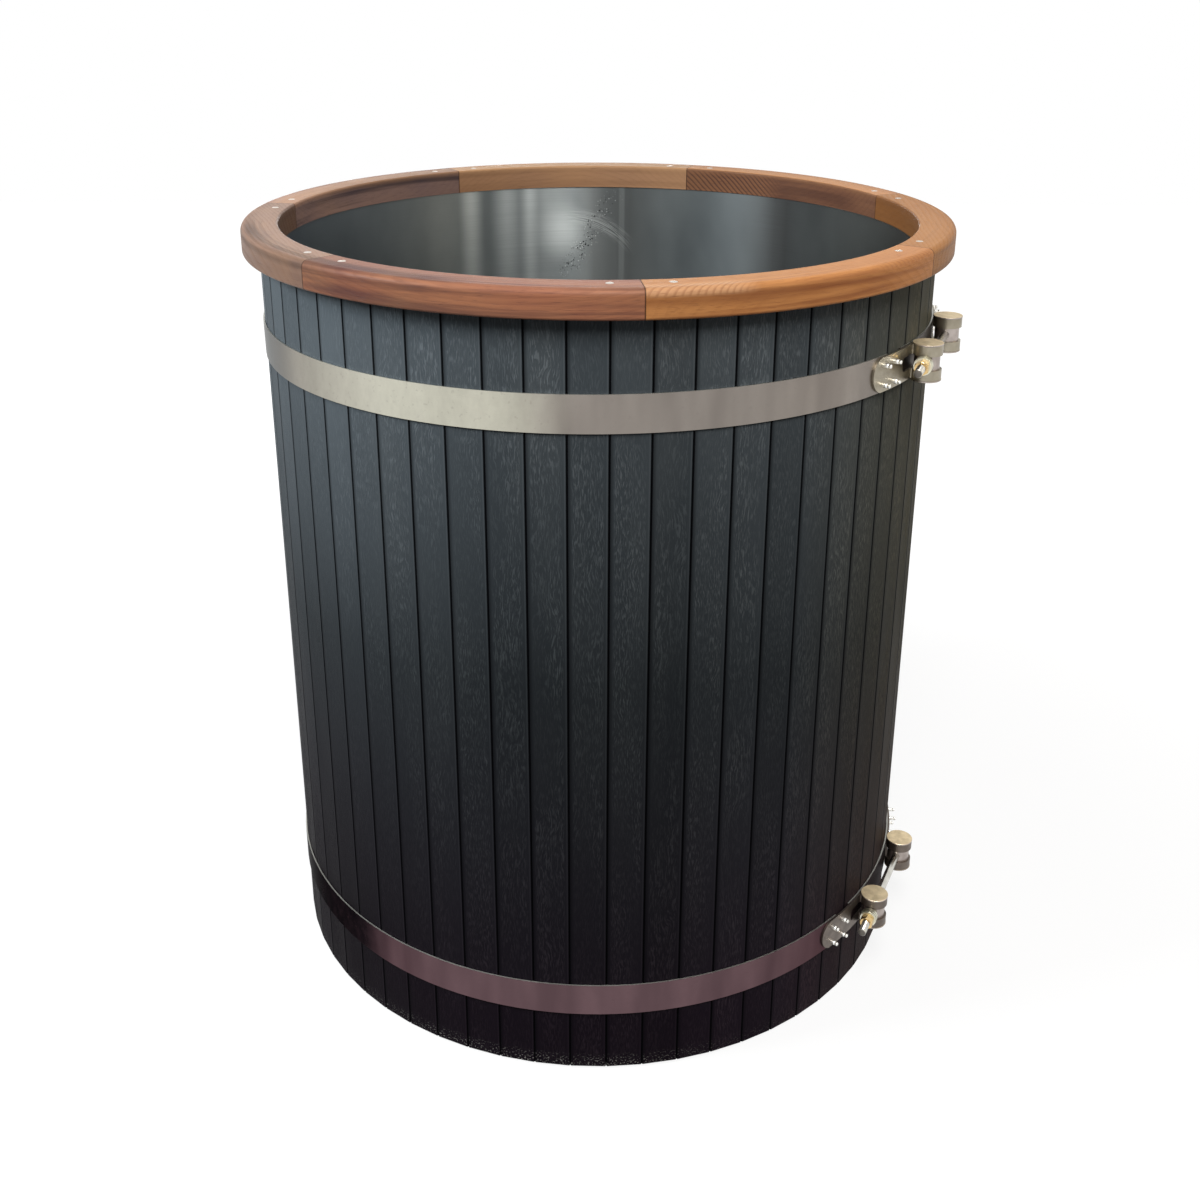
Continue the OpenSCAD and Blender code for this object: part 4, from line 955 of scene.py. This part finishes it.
studio = {
    "floor": 7.0,
    "floorColour": (0.15, 0.15, 0.15, 1),
    "floorNear": (0.86, 0.86, 0.86, 1),  # what the camera sees beside the tub; further off it sees white
    "floorFade": (0.7, 2.6),
    "white": (1, 1, 1, 1),
    "world": (0.26, 0.26, 0.26, 1),
    # name, place, aim, size, watts, colour
    "lamps": [
        ("overhead", (0.15, -2.3, 3.4), (0, 0, 0.7), (0.8, 1.6), 95, (1.0, 0.98, 0.96)),
        ("windowLeft", (-2.6, -0.9, 2.5), (0, 0, 1.0), (1.0, 1.2), 105, (0.90, 0.96, 1.0)),
        ("windowRight", (3.2, -1.2, 2.2), (0, 0, 0.7), (0.7, 2.0), 12, (1.0, 0.82, 0.6)),
        ("behind", (-0.5, 3.6, 0.9), (0, 0, 0.6), (1.8, 0.9), 60, (1.0, 1.0, 1.0)),  # lower than the rim
    ],
}


def buildFloor():
    mesh = bpy.data.meshes.new("floor")
    half = studio["floor"]
    mesh.from_pydata([(-half, -half, 0), (half, -half, 0), (half, half, 0), (-half, half, 0)], [], [(0, 1, 2, 3)])
    floor = addObject("floor", mesh)
    f = Finish("studio floor", Base_Color=studio["floorColour"], Roughness=0.9, Specular_IOR_Level=0.0,
               Emission_Strength=1.0)
    radius = f.roundTub()[1]
    shown = f.mix(f.band(radius, *studio["floorFade"], smooth=True), studio["floorNear"], studio["white"])
    f.feed(Emission_Color=f.mix(f.seen(), (0, 0, 0, 1), shown))
    mesh.materials.append(f.material)


def lightStudio():
    scene = bpy.context.scene
    scene.world = bpy.data.worlds.new("studio")
    sky = Tree(scene.world)
    light = sky.add("ShaderNodeBackground", {}, {"Color": studio["world"], "Strength": 1.0})
    white = sky.add("ShaderNodeBackground", {}, {"Color": studio["white"], "Strength": 1.0})
    shown = sky.add("ShaderNodeMixShader", {}, {0: sky.seen(), 1: light, 2: white})
    sky.links.new(shown.socket, sky.nodes["World Output"].inputs["Surface"])
    for name, place, aim, size, watts, colour in studio["lamps"]:
        lamp = bpy.data.lights.new(name, "AREA")
        lamp.shape = "RECTANGLE"
        lamp.size, lamp.size_y = size
        lamp.energy = watts
        lamp.color = colour
        holder = addObject(name, lamp)
        holder.location = place
        holder.rotation_euler = (Vector(aim) - Vector(place)).to_track_quat("-Z", "Y").to_euler()


buildFloor()
lightStudio()
bpy.context.scene.view_settings.view_transform = "Standard"
print("studio lit")
